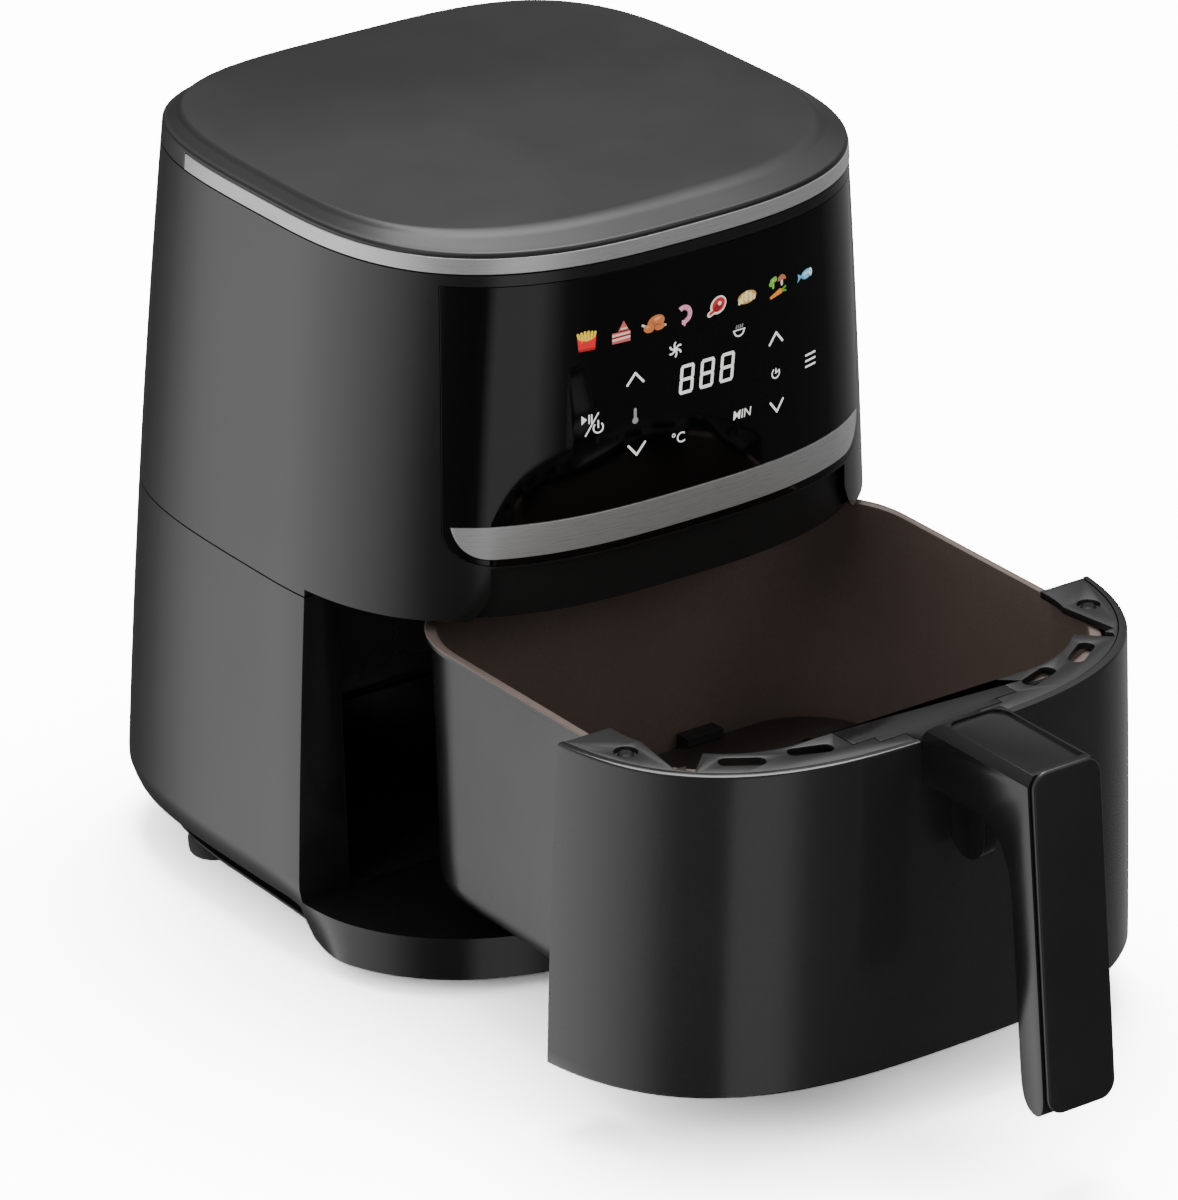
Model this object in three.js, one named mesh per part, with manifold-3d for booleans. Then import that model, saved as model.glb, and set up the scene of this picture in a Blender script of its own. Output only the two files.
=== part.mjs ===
// Basket air fryer with its drawer pulled out, as separate pieces in one frame.
// Millimetres, +Z up, the front faces -Y. z = 0 is the table and x = 0 is the middle plane.
// The pieces are drawn with y = 0 on the widest line of the housing, then the whole is moved
// along Y so that the origin lies under the middle of the overall box.
import * as THREE from "three";
import { mergeVertices } from "three/addons/utils/BufferGeometryUtils.js";
import Module from "manifold-3d";

const wasm = await Module();
wasm.setup();

// ---- Driving dimensions ----

const FIT = 0.3; // gap between neighbouring pieces that touch
const RUN = 1; // gap beside a piece that slides or turns
const WALL = 3; // moulded housing wall
const SHEET = 1.2; // pressed metal wall
const RING_STEPS = 48; // points round a housing outline
const drawerOut = 166.7; // how far the drawer stands open

const housing = {
  bottom: 8, // lower edge of the skirt
  seam: 158.8, // joint between the lower and the upper shell
  head: 145.8, // height of the upper shell above the seam
  browRise: 3.3, // lower edge of the upper shell over the drawer, above the seam
  halfWidth: 130, // at the seam, as the next two are
  frontDepth: 112,
  backDepth: 140,
  sideTaper: 0.0523, // widening per mm of drop
  sideCrown: 0.000118, // bow of the sides, per mm squared
  frontTaper: 0.0136,
  backTaper: 0.0718,
  frontExponent: 2.8, // how square the front corners are
  backExponent: 3.8,
  skirt: 25, // height of the part that turns in at the foot
  skirtIn: 12, // how far it turns in
  skirtFrontY: -58, // the skirt fades out towards the front
  skirtFullY: -17,
};
const seamGap = 0.6;
const skirtTop = housing.bottom + housing.skirt;
const brow = housing.seam + housing.browRise;
const lidSeam = housing.seam + housing.head;

const bay = {
  jambY: -31, // the drawer front's side edges close against this
  jambWidth: 17, // side frame beside the bay, at the seam
  draft: 0.03, // widening of the bay per mm of rise
  deckTop: housing.bottom + 18, // top of the chin under the drawer
  liner: 2, // liner wall
  linerTop: housing.seam - 4.8,
  back: housing.backDepth - 24, // inner back face of the liner
  corner: 48,
  padHalf: 33, // raised pad along the middle of the floor
  padRise: 1.6,
  rail: 70, // height of the slide rails above the deck
  railOut: 0.5,
  railHeight: 3,
};
const lid = {
  skirtTop: lidSeam + 7.4,
  edgeRound: 1.6,
  top: lidSeam + 12.9,
  sideIn: 8.5,
  frontIn: 19,
  backIn: 5,
};
const topTrim = { height: 6.6, thick: 1.4, endY: 65, proud: 0.3 };
const panel = {
  bottom: brow + 22.9,
  top: lidSeam - 5.1,
  sideTop: 22,
  sideBottom: 27.5,
  corner: 13,
  thick: 2.6,
};
const trim = {
  bottom: panel.bottom + 2.8,
  top: panel.bottom + 16.2,
  side: 2.4,
  corner: 10,
  depth: 1.1,
  proud: 0.3,
};
const arch = { side: 42.5, straight: 9.5, flare: 8.5, depth: 3.2, plate: 2.2, underPanel: 1.2 };
const drawer = {
  gap: 0.9, // above and below the front when it is shut
  wall: 3,
  bevel: 1.2,
  inner: 2, // the wall behind the face
  sleeveGap: 0.8, // round the basket
  tipY: bay.jambY - 1.6, // where the front's sides end
  ringThick: 3,
  ringIn: 0.2,
};
const basket = {
  top: housing.seam - 1.2,
  bottom: bay.deckTop + 17,
  gapToBay: 0.9, // running gap beside the basket
  frontY: -(housing.frontDepth - 23),
  backY: bay.back - 8,
  corner: bay.corner - 4,
  wall: 1.4,
  lip: 3.4,
  lipHeight: 3,
  floorRound: 12,
};
const ring = { frontIn: 26.5, sideIn: 26, corner: 50, slotLength: 18, slotWidth: 6.6, slotIn: 7 };
const handle = {
  halfWidth: 17,
  armTop: brow + 8.9,
  armThick: 26,
  gripOut: 64.5, // grip's outer face in front of the drawer's face, at the arm's top
  gripThick: 15.5,
  gripBottom: bay.deckTop + 8,
  lean: 0.112, // outward lean per mm of drop
  cover: 2.6,
  coverIn: 1,
  channel: 1.4,
  bevelIn: 3, // the arm's top edges are bevelled this far in and this far down
  bevelDown: 4,
  rib: 6,
  ribOut: 21,
  ribDrop: 58, // lower end of the rib, below the arm's top
};
const chamber = {
  bottom: brow + 3.9,
  height: 50,
  halfWidth: housing.halfWidth - 23,
  backY: housing.backDepth - 28,
  frontY: -(housing.frontDepth - 24),
  corner: (housing.halfWidth * housing.frontDepth) / 364, // keeps inside the rounded front
  shoulder: 8,
  flange: 4,
};
const chamberTop = chamber.bottom + chamber.height;
const element = { z: chamberTop - 26, tube: 3.2, inner: 56, outer: 84, turns: 2, lead: 2.9 };
const rotor = {
  x: 0,
  y: 10, // the shaft's place front to back
  shaft: 4,
  fanRadius: element.inner - element.lead - 4,
  fanZ: chamberTop - 17,
  fanHeight: 11,
  coolRadius: 44,
  coolZ: chamberTop + 13,
  coolHeight: 9,
};
const motor = { radius: 27, bottom: chamberTop + 31, height: 30 };
const shield = { z: chamberTop + 5, in: 9 };
const guard = { z: chamber.bottom + 6, thick: 2, reach: element.outer + 11 };
const plate = {
  z: basket.bottom + 19,
  thick: 1.6,
  gap: 5.5,
  legs: 15,
  legIn: 30,
  slots: 7,
  bumper: 4.4,
  bumperX: 38,
};
const foot = {
  radius: 11,
  height: 8.6,
  rearX: housing.halfWidth - 24,
  rearY: housing.backDepth - 68,
  frontX: housing.halfWidth - 68,
  frontY: -(housing.frontDepth - 36),
};
const vent = { halfWidth: 52, bottom: lidSeam - 72.6, top: lidSeam - 28.6, slats: 7, thick: 3.4 };
const gland = { x: 62, z: housing.bottom + 50, radius: 8.5, bore: 3.6, flange: 3 };
const plunger = { x: -58, z: basket.top - 37.6, radius: 2.4 };
const sensor = { x: 62, y: rotor.y + 50, radius: 2.6 };
const cutout = { x: -sensor.x, y: sensor.y, radius: 8 };
const bushing = {
  halfX: 13.6,
  y0: rotor.y + element.inner - 5,
  y1: rotor.y + element.outer + 3,
  gap: 0.7, // to the edges of the holes it passes
};
const pilot = 1.7; // radius of a screw's hole

// ---- Solids ----

function solid(geometry) {
  const plain = geometry.index ? geometry.toNonIndexed() : geometry.clone();
  plain.deleteAttribute("normal");
  plain.deleteAttribute("uv");
  const merged = mergeVertices(plain, 1e-4);
  return new wasm.Manifold(
    new wasm.Mesh({
      numProp: 3,
      vertProperties: merged.attributes.position.array,
      triVerts: new Uint32Array(merged.index.array),
    }),
  );
}

function geometryOf(body) {
  const mesh = body.getMesh();
  const points = new Float32Array(mesh.numVert * 3);
  for (let i = 0; i < mesh.numVert; i++) {
    const start = i * mesh.numProp;
    points.set(mesh.vertProperties.subarray(start, start + 3), i * 3);
  }
  const geometry = new THREE.BufferGeometry();
  geometry.setAttribute("position", new THREE.BufferAttribute(points, 3));
  geometry.setIndex(new THREE.BufferAttribute(mesh.triVerts, 1));
  return geometry;
}

const join = (...bodies) => bodies.reduce((all, next) => all.add(next));
const cut = (body, ...tools) => tools.reduce((left, tool) => left.subtract(tool), body);

function box(x0, x1, y0, y1, z0, z1) {
  const geometry = new THREE.BoxGeometry(x1 - x0, y1 - y0, z1 - z0);
  return solid(geometry.translate((x0 + x1) / 2, (y0 + y1) / 2, (z0 + z1) / 2));
}

function cylinderZ(x, y, z0, z1, radius, sides = 20) {
  const geometry = new THREE.CylinderGeometry(radius, radius, z1 - z0, sides);
  return solid(geometry.rotateX(Math.PI / 2).translate(x, y, (z0 + z1) / 2));
}

function cylinderY(x, z, y0, y1, radius, sides = 20) {
  const geometry = new THREE.CylinderGeometry(radius, radius, y1 - y0, sides);
  return solid(geometry.translate(x, (y0 + y1) / 2, z));
}

// A surface of revolution about a vertical axis at (x, y); the profile is [radius, z] pairs.
function turned(profile, x = 0, y = 0, sides = 28) {
  const points = profile.map(([r, z]) => new THREE.Vector2(r, z));
  return solid(new THREE.LatheGeometry(points, sides).rotateX(Math.PI / 2).translate(x, y, 0));
}

function extrudeXY(shape, z0, z1, curveSegments = 6) {
  const options = { depth: z1 - z0, bevelEnabled: false, curveSegments };
  return solid(new THREE.ExtrudeGeometry(shape, options).translate(0, 0, z0));
}

// A shape drawn in (x, z), as seen from the front, carried through from y0 to y1.
function extrudeXZ(shape, y0, y1, curveSegments = 6) {
  const options = { depth: y1 - y0, bevelEnabled: false, curveSegments };
  return solid(new THREE.ExtrudeGeometry(shape, options).rotateX(Math.PI / 2).translate(0, y1, 0));
}

// A shape drawn in (y, z), as seen from the side, carried through from x0 to x1.
function extrudeYZ(shape, x0, x1, curveSegments = 6) {
  const options = { depth: x1 - x0, bevelEnabled: false, curveSegments };
  const turn = new THREE.Matrix4().makeBasis(
    new THREE.Vector3(0, 1, 0),
    new THREE.Vector3(0, 0, 1),
    new THREE.Vector3(1, 0, 0),
  );
  return solid(new THREE.ExtrudeGeometry(shape, options).applyMatrix4(turn).translate(x0, 0, 0));
}

function polygon(points) {
  return new THREE.Shape(points.map(([u, v]) => new THREE.Vector2(u, v)));
}

function roundedShape(u0, u1, v0, v1, r) {
  const shape = new THREE.Shape();
  shape.moveTo(u0 + r, v0);
  shape.lineTo(u1 - r, v0);
  shape.absarc(u1 - r, v0 + r, r, -Math.PI / 2, 0);
  shape.lineTo(u1, v1 - r);
  shape.absarc(u1 - r, v1 - r, r, 0, Math.PI / 2);
  shape.lineTo(u0 + r, v1);
  shape.absarc(u0 + r, v1 - r, r, Math.PI / 2, Math.PI);
  shape.lineTo(u0, v0 + r);
  shape.absarc(u0 + r, v0 + r, r, Math.PI, 1.5 * Math.PI);
  return shape;
}

// A closed solid through horizontal rings of equally many points, flat at both ends.
function stack(rings) {
  const count = rings[0].length;
  const positions = rings.flat(2);
  const triangles = [];
  for (let level = 0; level + 1 < rings.length; level++) {
    for (let i = 0; i < count; i++) {
      const a = level * count + i;
      const b = level * count + ((i + 1) % count);
      triangles.push(a, b, b + count, a, b + count, a + count);
    }
  }
  const last = (rings.length - 1) * count;
  const contour = rings[0].map(([x, y]) => new THREE.Vector2(x, y));
  for (const [a, b, c] of THREE.ShapeUtils.triangulateShape(contour, [])) {
    triangles.push(a, c, b, last + a, last + b, last + c);
  }
  const geometry = new THREE.BufferGeometry();
  geometry.setAttribute("position", new THREE.Float32BufferAttribute(positions, 3));
  geometry.setIndex(triangles);
  return solid(geometry);
}

// ---- The housing's outline ----

const drop = (z) => housing.seam - z;
const halfWidth = (z) =>
  housing.halfWidth + housing.sideTaper * drop(z) - housing.sideCrown * drop(z) ** 2;
const frontDepth = (z) => housing.frontDepth + housing.frontTaper * drop(z);
const backDepth = (z) => housing.backDepth + housing.backTaper * drop(z);

function skirtInset(z, y) {
  const down = THREE.MathUtils.clamp((skirtTop - z) / housing.skirt, 0, 1);
  const rear = THREE.MathUtils.smoothstep(y, housing.skirtFrontY, housing.skirtFullY);
  return housing.skirtIn * down ** 1.3 * rear;
}

// The housing's outline at height z, moved in by inset; inset may be a function of y.
function outline(z, inset = 0, skirt = true) {
  const points = [];
  for (let i = 0; i < RING_STEPS; i++) {
    const angle = (i / RING_STEPS) * 2 * Math.PI;
    const c = Math.cos(angle);
    const s = Math.sin(angle);
    const front = s < -1e-9;
    const power = 2 / (front ? housing.frontExponent : housing.backExponent);
    const depth = front ? frontDepth(z) : backDepth(z);
    const across = Math.sign(c) * Math.abs(c) ** power;
    const along = Math.sign(s) * Math.abs(s) ** power;
    const moved = inset + (skirt ? skirtInset(z, depth * along) : 0);
    points.push([(halfWidth(z) - moved) * across, (depth - moved) * along, z]);
  }
  return points;
}

// The y of the housing's front face at x and height z, moved in by inset.
function frontY(x, z, inset = 0) {
  const share = Math.min(1, Math.abs(x) / (halfWidth(z) - inset));
  const power = housing.frontExponent;
  return -(frontDepth(z) - inset) * (1 - share ** power) ** (1 / power);
}

// Heights at which a ring is drawn so that the skirt and the bowed sides come out smooth.
const bodyLevels = (z0, z1) => {
  const skirt = [0.32, 0.64, 1].map((share) => housing.bottom + share * housing.skirt);
  const sides = [(skirtTop + housing.seam) / 2, (housing.seam + lidSeam) / 2];
  return [z0, ...[...skirt, ...sides].filter((z) => z > z0 + 2 && z < z1 - 2), z1];
};
const bodyStack = (z0, z1, inset = 0, skirt = true) =>
  stack(bodyLevels(z0, z1).map((z) => outline(z, inset, skirt)));

// The housing's skin between two insets, from z0 to z1.
function skin(z0, z1, outer, inner) {
  const levels = [z0 - 1, ...bodyLevels(z0, z1), z1 + 1];
  return cut(bodyStack(z0, z1, outer), stack(levels.map((z) => outline(z, inner))));
}

const REACH = 400; // longer than anything it cuts
const front = (z0, z1, y = 0) => box(-REACH, REACH, -REACH, y, z0, z1);

const atHeight = (points, z) => points.map(([x, y]) => [x, y, z]);

// A rounded rectangle as a ring of points at height z.
function roundRing(x0, x1, y0, y1, r, z, steps = 5) {
  const centres = [
    [x1 - r, y0 + r, -90],
    [x1 - r, y1 - r, 0],
    [x0 + r, y1 - r, 90],
    [x0 + r, y0 + r, 180],
  ];
  const points = [];
  for (const [cx, cy, start] of centres) {
    for (let i = 0; i <= steps; i++) {
      const angle = THREE.MathUtils.degToRad(start + (90 * i) / steps);
      points.push([cx + r * Math.cos(angle), cy + r * Math.sin(angle), z]);
    }
  }
  return points;
}

const bayHalf = (z) => housing.halfWidth - bay.jambWidth + bay.draft * (z - housing.seam);

// ---- Housing ----

function lowerHousing() {
  const top = housing.seam - seamGap / 2;
  const levels = bodyLevels(housing.bottom - 1, top + 1);
  const inside = stack(levels.map((z) => outline(z, WALL)));
  const behindJamb = box(-REACH, REACH, bay.jambY + WALL, REACH, 0, REACH);
  const underDeck = box(-REACH, REACH, -REACH, bay.jambY + WALL + 0.001, 0, bay.deckTop - WALL);
  const mouth = extrudeXZ(
    polygon([
      [-bayHalf(bay.deckTop), bay.deckTop],
      [bayHalf(bay.deckTop), bay.deckTop],
      [bayHalf(REACH), REACH],
      [-bayHalf(REACH), REACH],
    ]),
    bay.jambY - 1,
    bay.jambY + WALL + 1,
  );
  const porch = box(-REACH, REACH, -REACH, bay.jambY, bay.deckTop, REACH);
  const glandHole = cylinderY(gland.x, gland.z, bay.back, REACH, gland.radius - 2, 20);
  return cut(
    bodyStack(housing.bottom, top),
    inside.intersect(join(behindJamb, underDeck)),
    mouth,
    porch,
    glandHole,
  );
}

const linerBottom = bay.deckTop - bay.liner;
const linerY = bay.jambY + WALL + FIT;

function bayLiner() {
  const shape = (z, grow, frontEnd) => {
    const half = bayHalf(z) + grow;
    return roundRing(-half, half, frontEnd, bay.back + grow, bay.corner, z);
  };
  const early = linerY - 2 * bay.corner; // the rounded front ends are trimmed off
  const outer = stack([linerBottom, bay.linerTop].map((z) => shape(z, bay.liner, early)));
  const inner = stack([bay.deckTop, bay.linerTop + 1].map((z) => shape(z, 0, early - 1)));
  const trimFront = front(0, REACH, linerY);
  const { x, z, radius } = plunger;
  const hole = cylinderY(x, z, bay.back - 5, bay.back + 5, radius + FIT, 12);
  const posts = screwPlaces.map((at) => cylinderZ(...at, postBottom, linerBottom + 0.5, 4.5, 12));
  const pilots = screwPlaces.map((at) => cylinderZ(...at, postBottom - 1, linerBottom - 2, pilot, 10));
  const padTop = bay.deckTop + bay.padRise;
  const pad = box(-bay.padHalf, bay.padHalf, linerY, bay.back - 6, bay.deckTop - 0.5, padTop);
  const railTop = bay.deckTop + bay.rail;
  const railLow = railTop - bay.railHeight;
  const wallX = bayHalf(railLow);
  const rails = [-1, 1].map((side) => {
    const [x0, x1] = [side * (wallX - bay.railOut), side * (wallX + 1)].sort((a, b) => a - b);
    return box(x0, x1, linerY + 8, bay.back - bay.corner, railLow, railTop);
  });
  return cut(join(cut(outer, inner, trimFront), ...posts, ...rails, pad), ...pilots, hole);
}

const postBottom = housing.bottom + 6; // of the posts that take the base plate's screws
const screwPlaces = [
  [-74, 6],
  [74, 6],
  [-74, 96],
  [74, 96],
];

function basePlate() {
  const bottom = housing.bottom + 1;
  const disc = stack([bottom, bottom + 2.4].map((z) => outline(z, WALL + RUN)));
  const holes = screwPlaces.map(([x, y]) => cylinderZ(x, y, 0, 20, 2.4, 12));
  const slots = [-2, -1, 0, 1, 2].map((i) => box(-40, 40, 30 + i * 12, 36 + i * 12, 0, 20));
  return cut(disc, ...holes, ...slots);
}

function screw(x, y) {
  const bottom = housing.bottom + 1;
  return turned(
    [
      [0, bottom - 2.6],
      [3.4, bottom - 2.2],
      [3.9, bottom - FIT],
      [1.4, bottom - FIT],
      [1.4, linerBottom - 3],
      [0, linerBottom - 2.4],
    ],
    x,
    y,
    12,
  );
}

function rubberFoot(x, y) {
  const { radius, height } = foot;
  const profile = [
    [0, 0],
    [radius - 2, 0],
    [radius - 0.6, 1.2],
    [radius, height - 2],
    [radius - 1, height],
    [0, height],
  ];
  return turned(profile, x, y, 20);
}

function upperHousing() {
  const bottom = housing.seam + seamGap / 2;
  const top = lidSeam - 0.4;
  const shell = skin(bottom, top, 0, WALL);
  const browCut = front(0, brow, bay.jambY);
  const panelHole = extrudeXZ(panelFace(FIT), -REACH, 0, 5);
  const archHole = extrudeXZ(archFace(0), -REACH, -40, 5);
  const ventHalf = vent.halfWidth + FIT;
  const ventHole = box(-ventHalf, ventHalf, 60, REACH, vent.bottom - FIT, vent.top + FIT);
  return cut(shell, browCut, panelHole, archHole, ventHole);
}

const panelHalf = (z) => {
  const share = (z - panel.bottom) / (panel.top - panel.bottom);
  return halfWidth(z) - THREE.MathUtils.lerp(panel.sideBottom, panel.sideTop, share);
};

// The panel's outline seen from the front, grown by grow: square above, rounded below.
function panelFace(grow = 0) {
  const low = panel.bottom - grow;
  const high = panel.top + grow;
  const wide = panelHalf(panel.bottom) + grow;
  const r = panel.corner + grow;
  const shape = new THREE.Shape();
  shape.moveTo(-panelHalf(high) - grow, high);
  shape.lineTo(-wide, low + r);
  shape.quadraticCurveTo(-wide + r * 0.14, low + r * 0.1, -wide + r * 1.3, low);
  shape.lineTo(wide - r * 1.3, low);
  shape.quadraticCurveTo(wide - r * 0.14, low + r * 0.1, wide, low + r);
  shape.lineTo(panelHalf(high) + grow, high);
  return shape;
}

// The strip's outline seen from the front: a straight top and a boat-shaped lower edge.
function stripFace(grow = 0) {
  const half = panelHalf(trim.top) - trim.side + grow;
  const low = trim.bottom - grow;
  const r = trim.corner;
  const shape = new THREE.Shape();
  shape.moveTo(-half, trim.top + grow);
  shape.quadraticCurveTo(-half + r * 0.2, low, -half + r * 1.35, low);
  shape.lineTo(half - r * 1.35, low);
  shape.quadraticCurveTo(half - r * 0.2, low, half, trim.top + grow);
  return shape;
}

// The notch under the panel that clears the handle, seen from the front.
function archFace(grow = 0) {
  const half = halfWidth(panel.bottom) - arch.side + grow;
  const top = panel.bottom - arch.underPanel + grow;
  const turn = top - arch.straight;
  const low = brow - 1 - grow;
  const shape = new THREE.Shape();
  shape.moveTo(-half, top);
  shape.lineTo(-half, turn);
  shape.quadraticCurveTo(-half - arch.flare * 0.35, brow + 3, -half - arch.flare, low);
  shape.lineTo(half + arch.flare, low);
  shape.quadraticCurveTo(half + arch.flare * 0.35, brow + 3, half, turn);
  shape.lineTo(half, top);
  return shape;
}

function archPlate() {
  const behind = skin(brow, panel.bottom - 2, arch.depth, arch.depth + arch.plate);
  return behind.intersect(extrudeXZ(archFace(4), -REACH, -40, 5));
}

function controlPanel() {
  const plateBody = skin(panel.bottom - 2, panel.top + 2, 0, panel.thick);
  const pocket = skin(trim.bottom - 4, trim.top + 4, -2, trim.depth + FIT);
  return cut(
    plateBody.intersect(extrudeXZ(panelFace(), -REACH, -20, 5)),
    pocket.intersect(extrudeXZ(stripFace(FIT), -REACH, -20, 5)),
  );
}

function lowerTrim() {
  const band = skin(trim.bottom - 4, trim.top + 4, -trim.proud, trim.depth);
  return band.intersect(extrudeXZ(stripFace(), -REACH, -20, 5));
}

// The lid's outline at height z, moved in by its own amount at the sides, the front and the back.
function lidRing(z, side, frontIn, backIn) {
  const level = lid.skirtTop;
  return outline(level, 0, false).map(([x, y]) => {
    const sx = (halfWidth(level) - side) / halfWidth(level);
    const depth = y < 0 ? frontDepth(level) : backDepth(level);
    const sy = (depth - (y < 0 ? frontIn : backIn)) / depth;
    return [x * sx, y * sy, z];
  });
}

function topLid() {
  const bottom = lidSeam;
  const half = lid.edgeRound / 2;
  const shell = stack([
    outline(bottom, 0, false),
    outline(lid.skirtTop, 0, false),
    lidRing(lid.skirtTop + 1, half, half, half),
    lidRing(lid.skirtTop + 1.5, lid.edgeRound, lid.edgeRound, lid.edgeRound),
    lidRing(lid.top, lid.sideIn, lid.frontIn, lid.backIn),
  ]);
  const hollow = stack([
    outline(bottom - 1, WALL, false),
    outline(lid.skirtTop - 1, WALL, false),
    lidRing(lid.top - 2.6, lid.sideIn + 2, lid.frontIn + 2, lid.backIn + 2),
  ]);
  const groove = skin(bottom - 0.01, bottom + topTrim.height + FIT, -1, topTrim.thick + FIT);
  return cut(shell, hollow, groove.intersect(front(0, REACH, topTrim.endY + FIT)));
}

function topTrimBand() {
  const z0 = lidSeam + FIT;
  const band = skin(z0, z0 + topTrim.height - FIT, -topTrim.proud, topTrim.thick);
  return band.intersect(front(0, REACH, topTrim.endY));
}

function rearGrille() {
  const z0 = vent.bottom;
  const z1 = vent.top;
  const tile = skin(z0 - 2, z1 + 2, 0.4, vent.thick).intersect(
    box(-vent.halfWidth, vent.halfWidth, 60, REACH, z0, z1),
  );
  const pitch = (z1 - z0 - 6) / vent.slats;
  const slotHalf = vent.halfWidth - 5;
  const slots = [];
  for (let i = 0; i < vent.slats; i++) {
    const low = z0 + 4 + i * pitch;
    slots.push(box(-slotHalf, slotHalf, 60, REACH, low, low + pitch * 0.55));
  }
  return cut(tile, ...slots);
}

function cordGland() {
  const { x, z, radius, flange, bore } = gland;
  const wallOut = backDepth(z) + 0.6;
  const body = join(
    cylinderY(x, z, wallOut - WALL - 8, wallOut + 1, radius - 2 - FIT, 20),
    cylinderY(x, z, wallOut + FIT, wallOut + FIT + flange, radius, 20),
  );
  return cut(body, cylinderY(x, z, 0, REACH, bore, 16));
}

// ---- Inside the head ----

function chamberRing(z, grow = 0) {
  const half = chamber.halfWidth + grow;
  const y0 = chamber.frontY - grow;
  const y1 = chamber.backY + grow;
  return roundRing(-half, half, y0, y1, chamber.corner + grow, z);
}

// The holes that the sensor and the element's bushing share in the liner and the shield.
function headHoles() {
  const half = bushing.halfX + bushing.gap;
  return [
    cylinderZ(sensor.x, sensor.y, 0, REACH, sensor.radius + bushing.gap, 12),
    box(-half, half, bushing.y0 - bushing.gap, bushing.y1 + bushing.gap, 0, REACH),
  ];
}

function chamberLiner() {
  const z0 = chamber.bottom;
  const z1 = chamberTop;
  const { shoulder } = chamber;
  const flange = stack([z0, z0 + SHEET].map((z) => chamberRing(z, chamber.flange)));
  const outer = stack([chamberRing(z0), chamberRing(z1 - shoulder), chamberRing(z1, -shoulder)]);
  const inner = stack([
    chamberRing(z0 - 1, -SHEET),
    chamberRing(z1 - shoulder - SHEET, -SHEET),
    chamberRing(z1 - SHEET, -shoulder - SHEET),
  ]);
  const shaftHole = cylinderZ(rotor.x, rotor.y, 0, REACH, rotor.shaft + 3, 16);
  return cut(join(flange, outer), inner, shaftHole, ...headHoles());
}

function heatShield() {
  const z = shield.z;
  const tray = stack([z, z + SHEET].map((level) => chamberRing(level, -shield.in)));
  const shaftHole = cylinderZ(rotor.x, rotor.y, 0, REACH, rotor.shaft + 4, 16);
  const cutoutHole = cylinderZ(cutout.x, cutout.y, 0, REACH, cutout.radius + 1.5, 16);
  const feet = mountPosts.map(([x, y]) => cylinderZ(x, y, chamberTop + FIT, z + 0.5, 5, 12));
  return cut(join(tray, ...feet), shaftHole, cutoutHole, ...headHoles());
}

const postX = motor.radius + 25;
const mountPosts = [
  [-postX, rotor.y - 36],
  [postX, rotor.y - 36],
  [-postX, rotor.y + 36],
  [postX, rotor.y + 36],
];

class Spiral extends THREE.Curve {
  getPoint(t, target = new THREE.Vector3()) {
    const angle = Math.PI / 2 + t * element.turns * 2 * Math.PI;
    const r = THREE.MathUtils.lerp(element.inner, element.outer, t);
    return target.set(rotor.x + r * Math.cos(angle), rotor.y + r * Math.sin(angle), element.z);
  }
}

function heatingElement() {
  const sides = [...Array(8).keys()].map((i) => (i * Math.PI) / 4);
  const section = polygon(sides.map((a) => [element.tube * Math.cos(a), element.tube * Math.sin(a)]));
  const coil = new THREE.ExtrudeGeometry(section, {
    steps: 44,
    bevelEnabled: false,
    extrudePath: new Spiral(),
  });
  return join(solid(coil), ...elementLeads(element.z - 1, element.lead));
}

// The element's two tails, which stand outside the fan and go up into the bushing.
function elementLeads(z0, radius) {
  const top = chamberTop - SHEET - 2.4;
  return [element.inner, element.outer].map((r) =>
    cylinderZ(rotor.x, rotor.y + r, z0, top + (radius > element.lead ? 0.4 : 0), radius, 8),
  );
}

function elementBushing() {
  const { halfX, y0, y1 } = bushing;
  const block = box(-halfX, halfX, y0, y1, chamberTop - SHEET - 6, chamberTop + 9);
  return cut(block, ...elementLeads(0, element.lead + 0.7));
}

function fanGuard() {
  const z0 = guard.z;
  const z1 = z0 + guard.thick;
  const bars = [];
  for (let i = 0; i < 4; i++) {
    const bar = new THREE.BoxGeometry(2 * guard.reach, 2, guard.thick).rotateZ((i * Math.PI) / 4);
    bars.push(solid(bar.translate(rotor.x, rotor.y, (z0 + z1) / 2)));
  }
  const hoops = [61, 31, 1].map((inFromEnd) => {
    const r = guard.reach - inFromEnd;
    const { x, y } = rotor;
    return cut(cylinderZ(x, y, z0, z1, r, 20), cylinderZ(x, y, 0, REACH, r - 2, 20));
  });
  return join(...bars, ...hoops);
}

// A fan: a hub, a disc on top and straight blades hanging from the disc.
function fan(z, height, radius, blades, bore) {
  const parts = [
    cylinderZ(rotor.x, rotor.y, z + height - 1, z + height, radius * 0.6, 24),
    cylinderZ(rotor.x, rotor.y, z, z + height, bore + 4, 16),
  ];
  for (let i = 0; i < blades; i++) {
    const turn = (i * 2 * Math.PI) / blades;
    const blade = new THREE.BoxGeometry(radius - bore - 3, 1, height);
    blade.translate((radius + bore + 3) / 2, 0, z + height / 2).rotateZ(turn);
    parts.push(solid(blade.translate(rotor.x, rotor.y, 0)));
  }
  return cut(join(...parts), cylinderZ(rotor.x, rotor.y, 0, REACH, bore, 16));
}

function motorShaft() {
  const r = rotor.shaft;
  const low = rotor.fanZ - 5;
  return turned(
    [
      [0, low],
      [r + 2, low],
      [r + 2, rotor.fanZ - FIT],
      [r, rotor.fanZ - FIT],
      [r, motor.bottom + motor.height - 8],
      [0, motor.bottom + motor.height - 8],
    ],
    rotor.x,
    rotor.y,
    14,
  );
}

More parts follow.
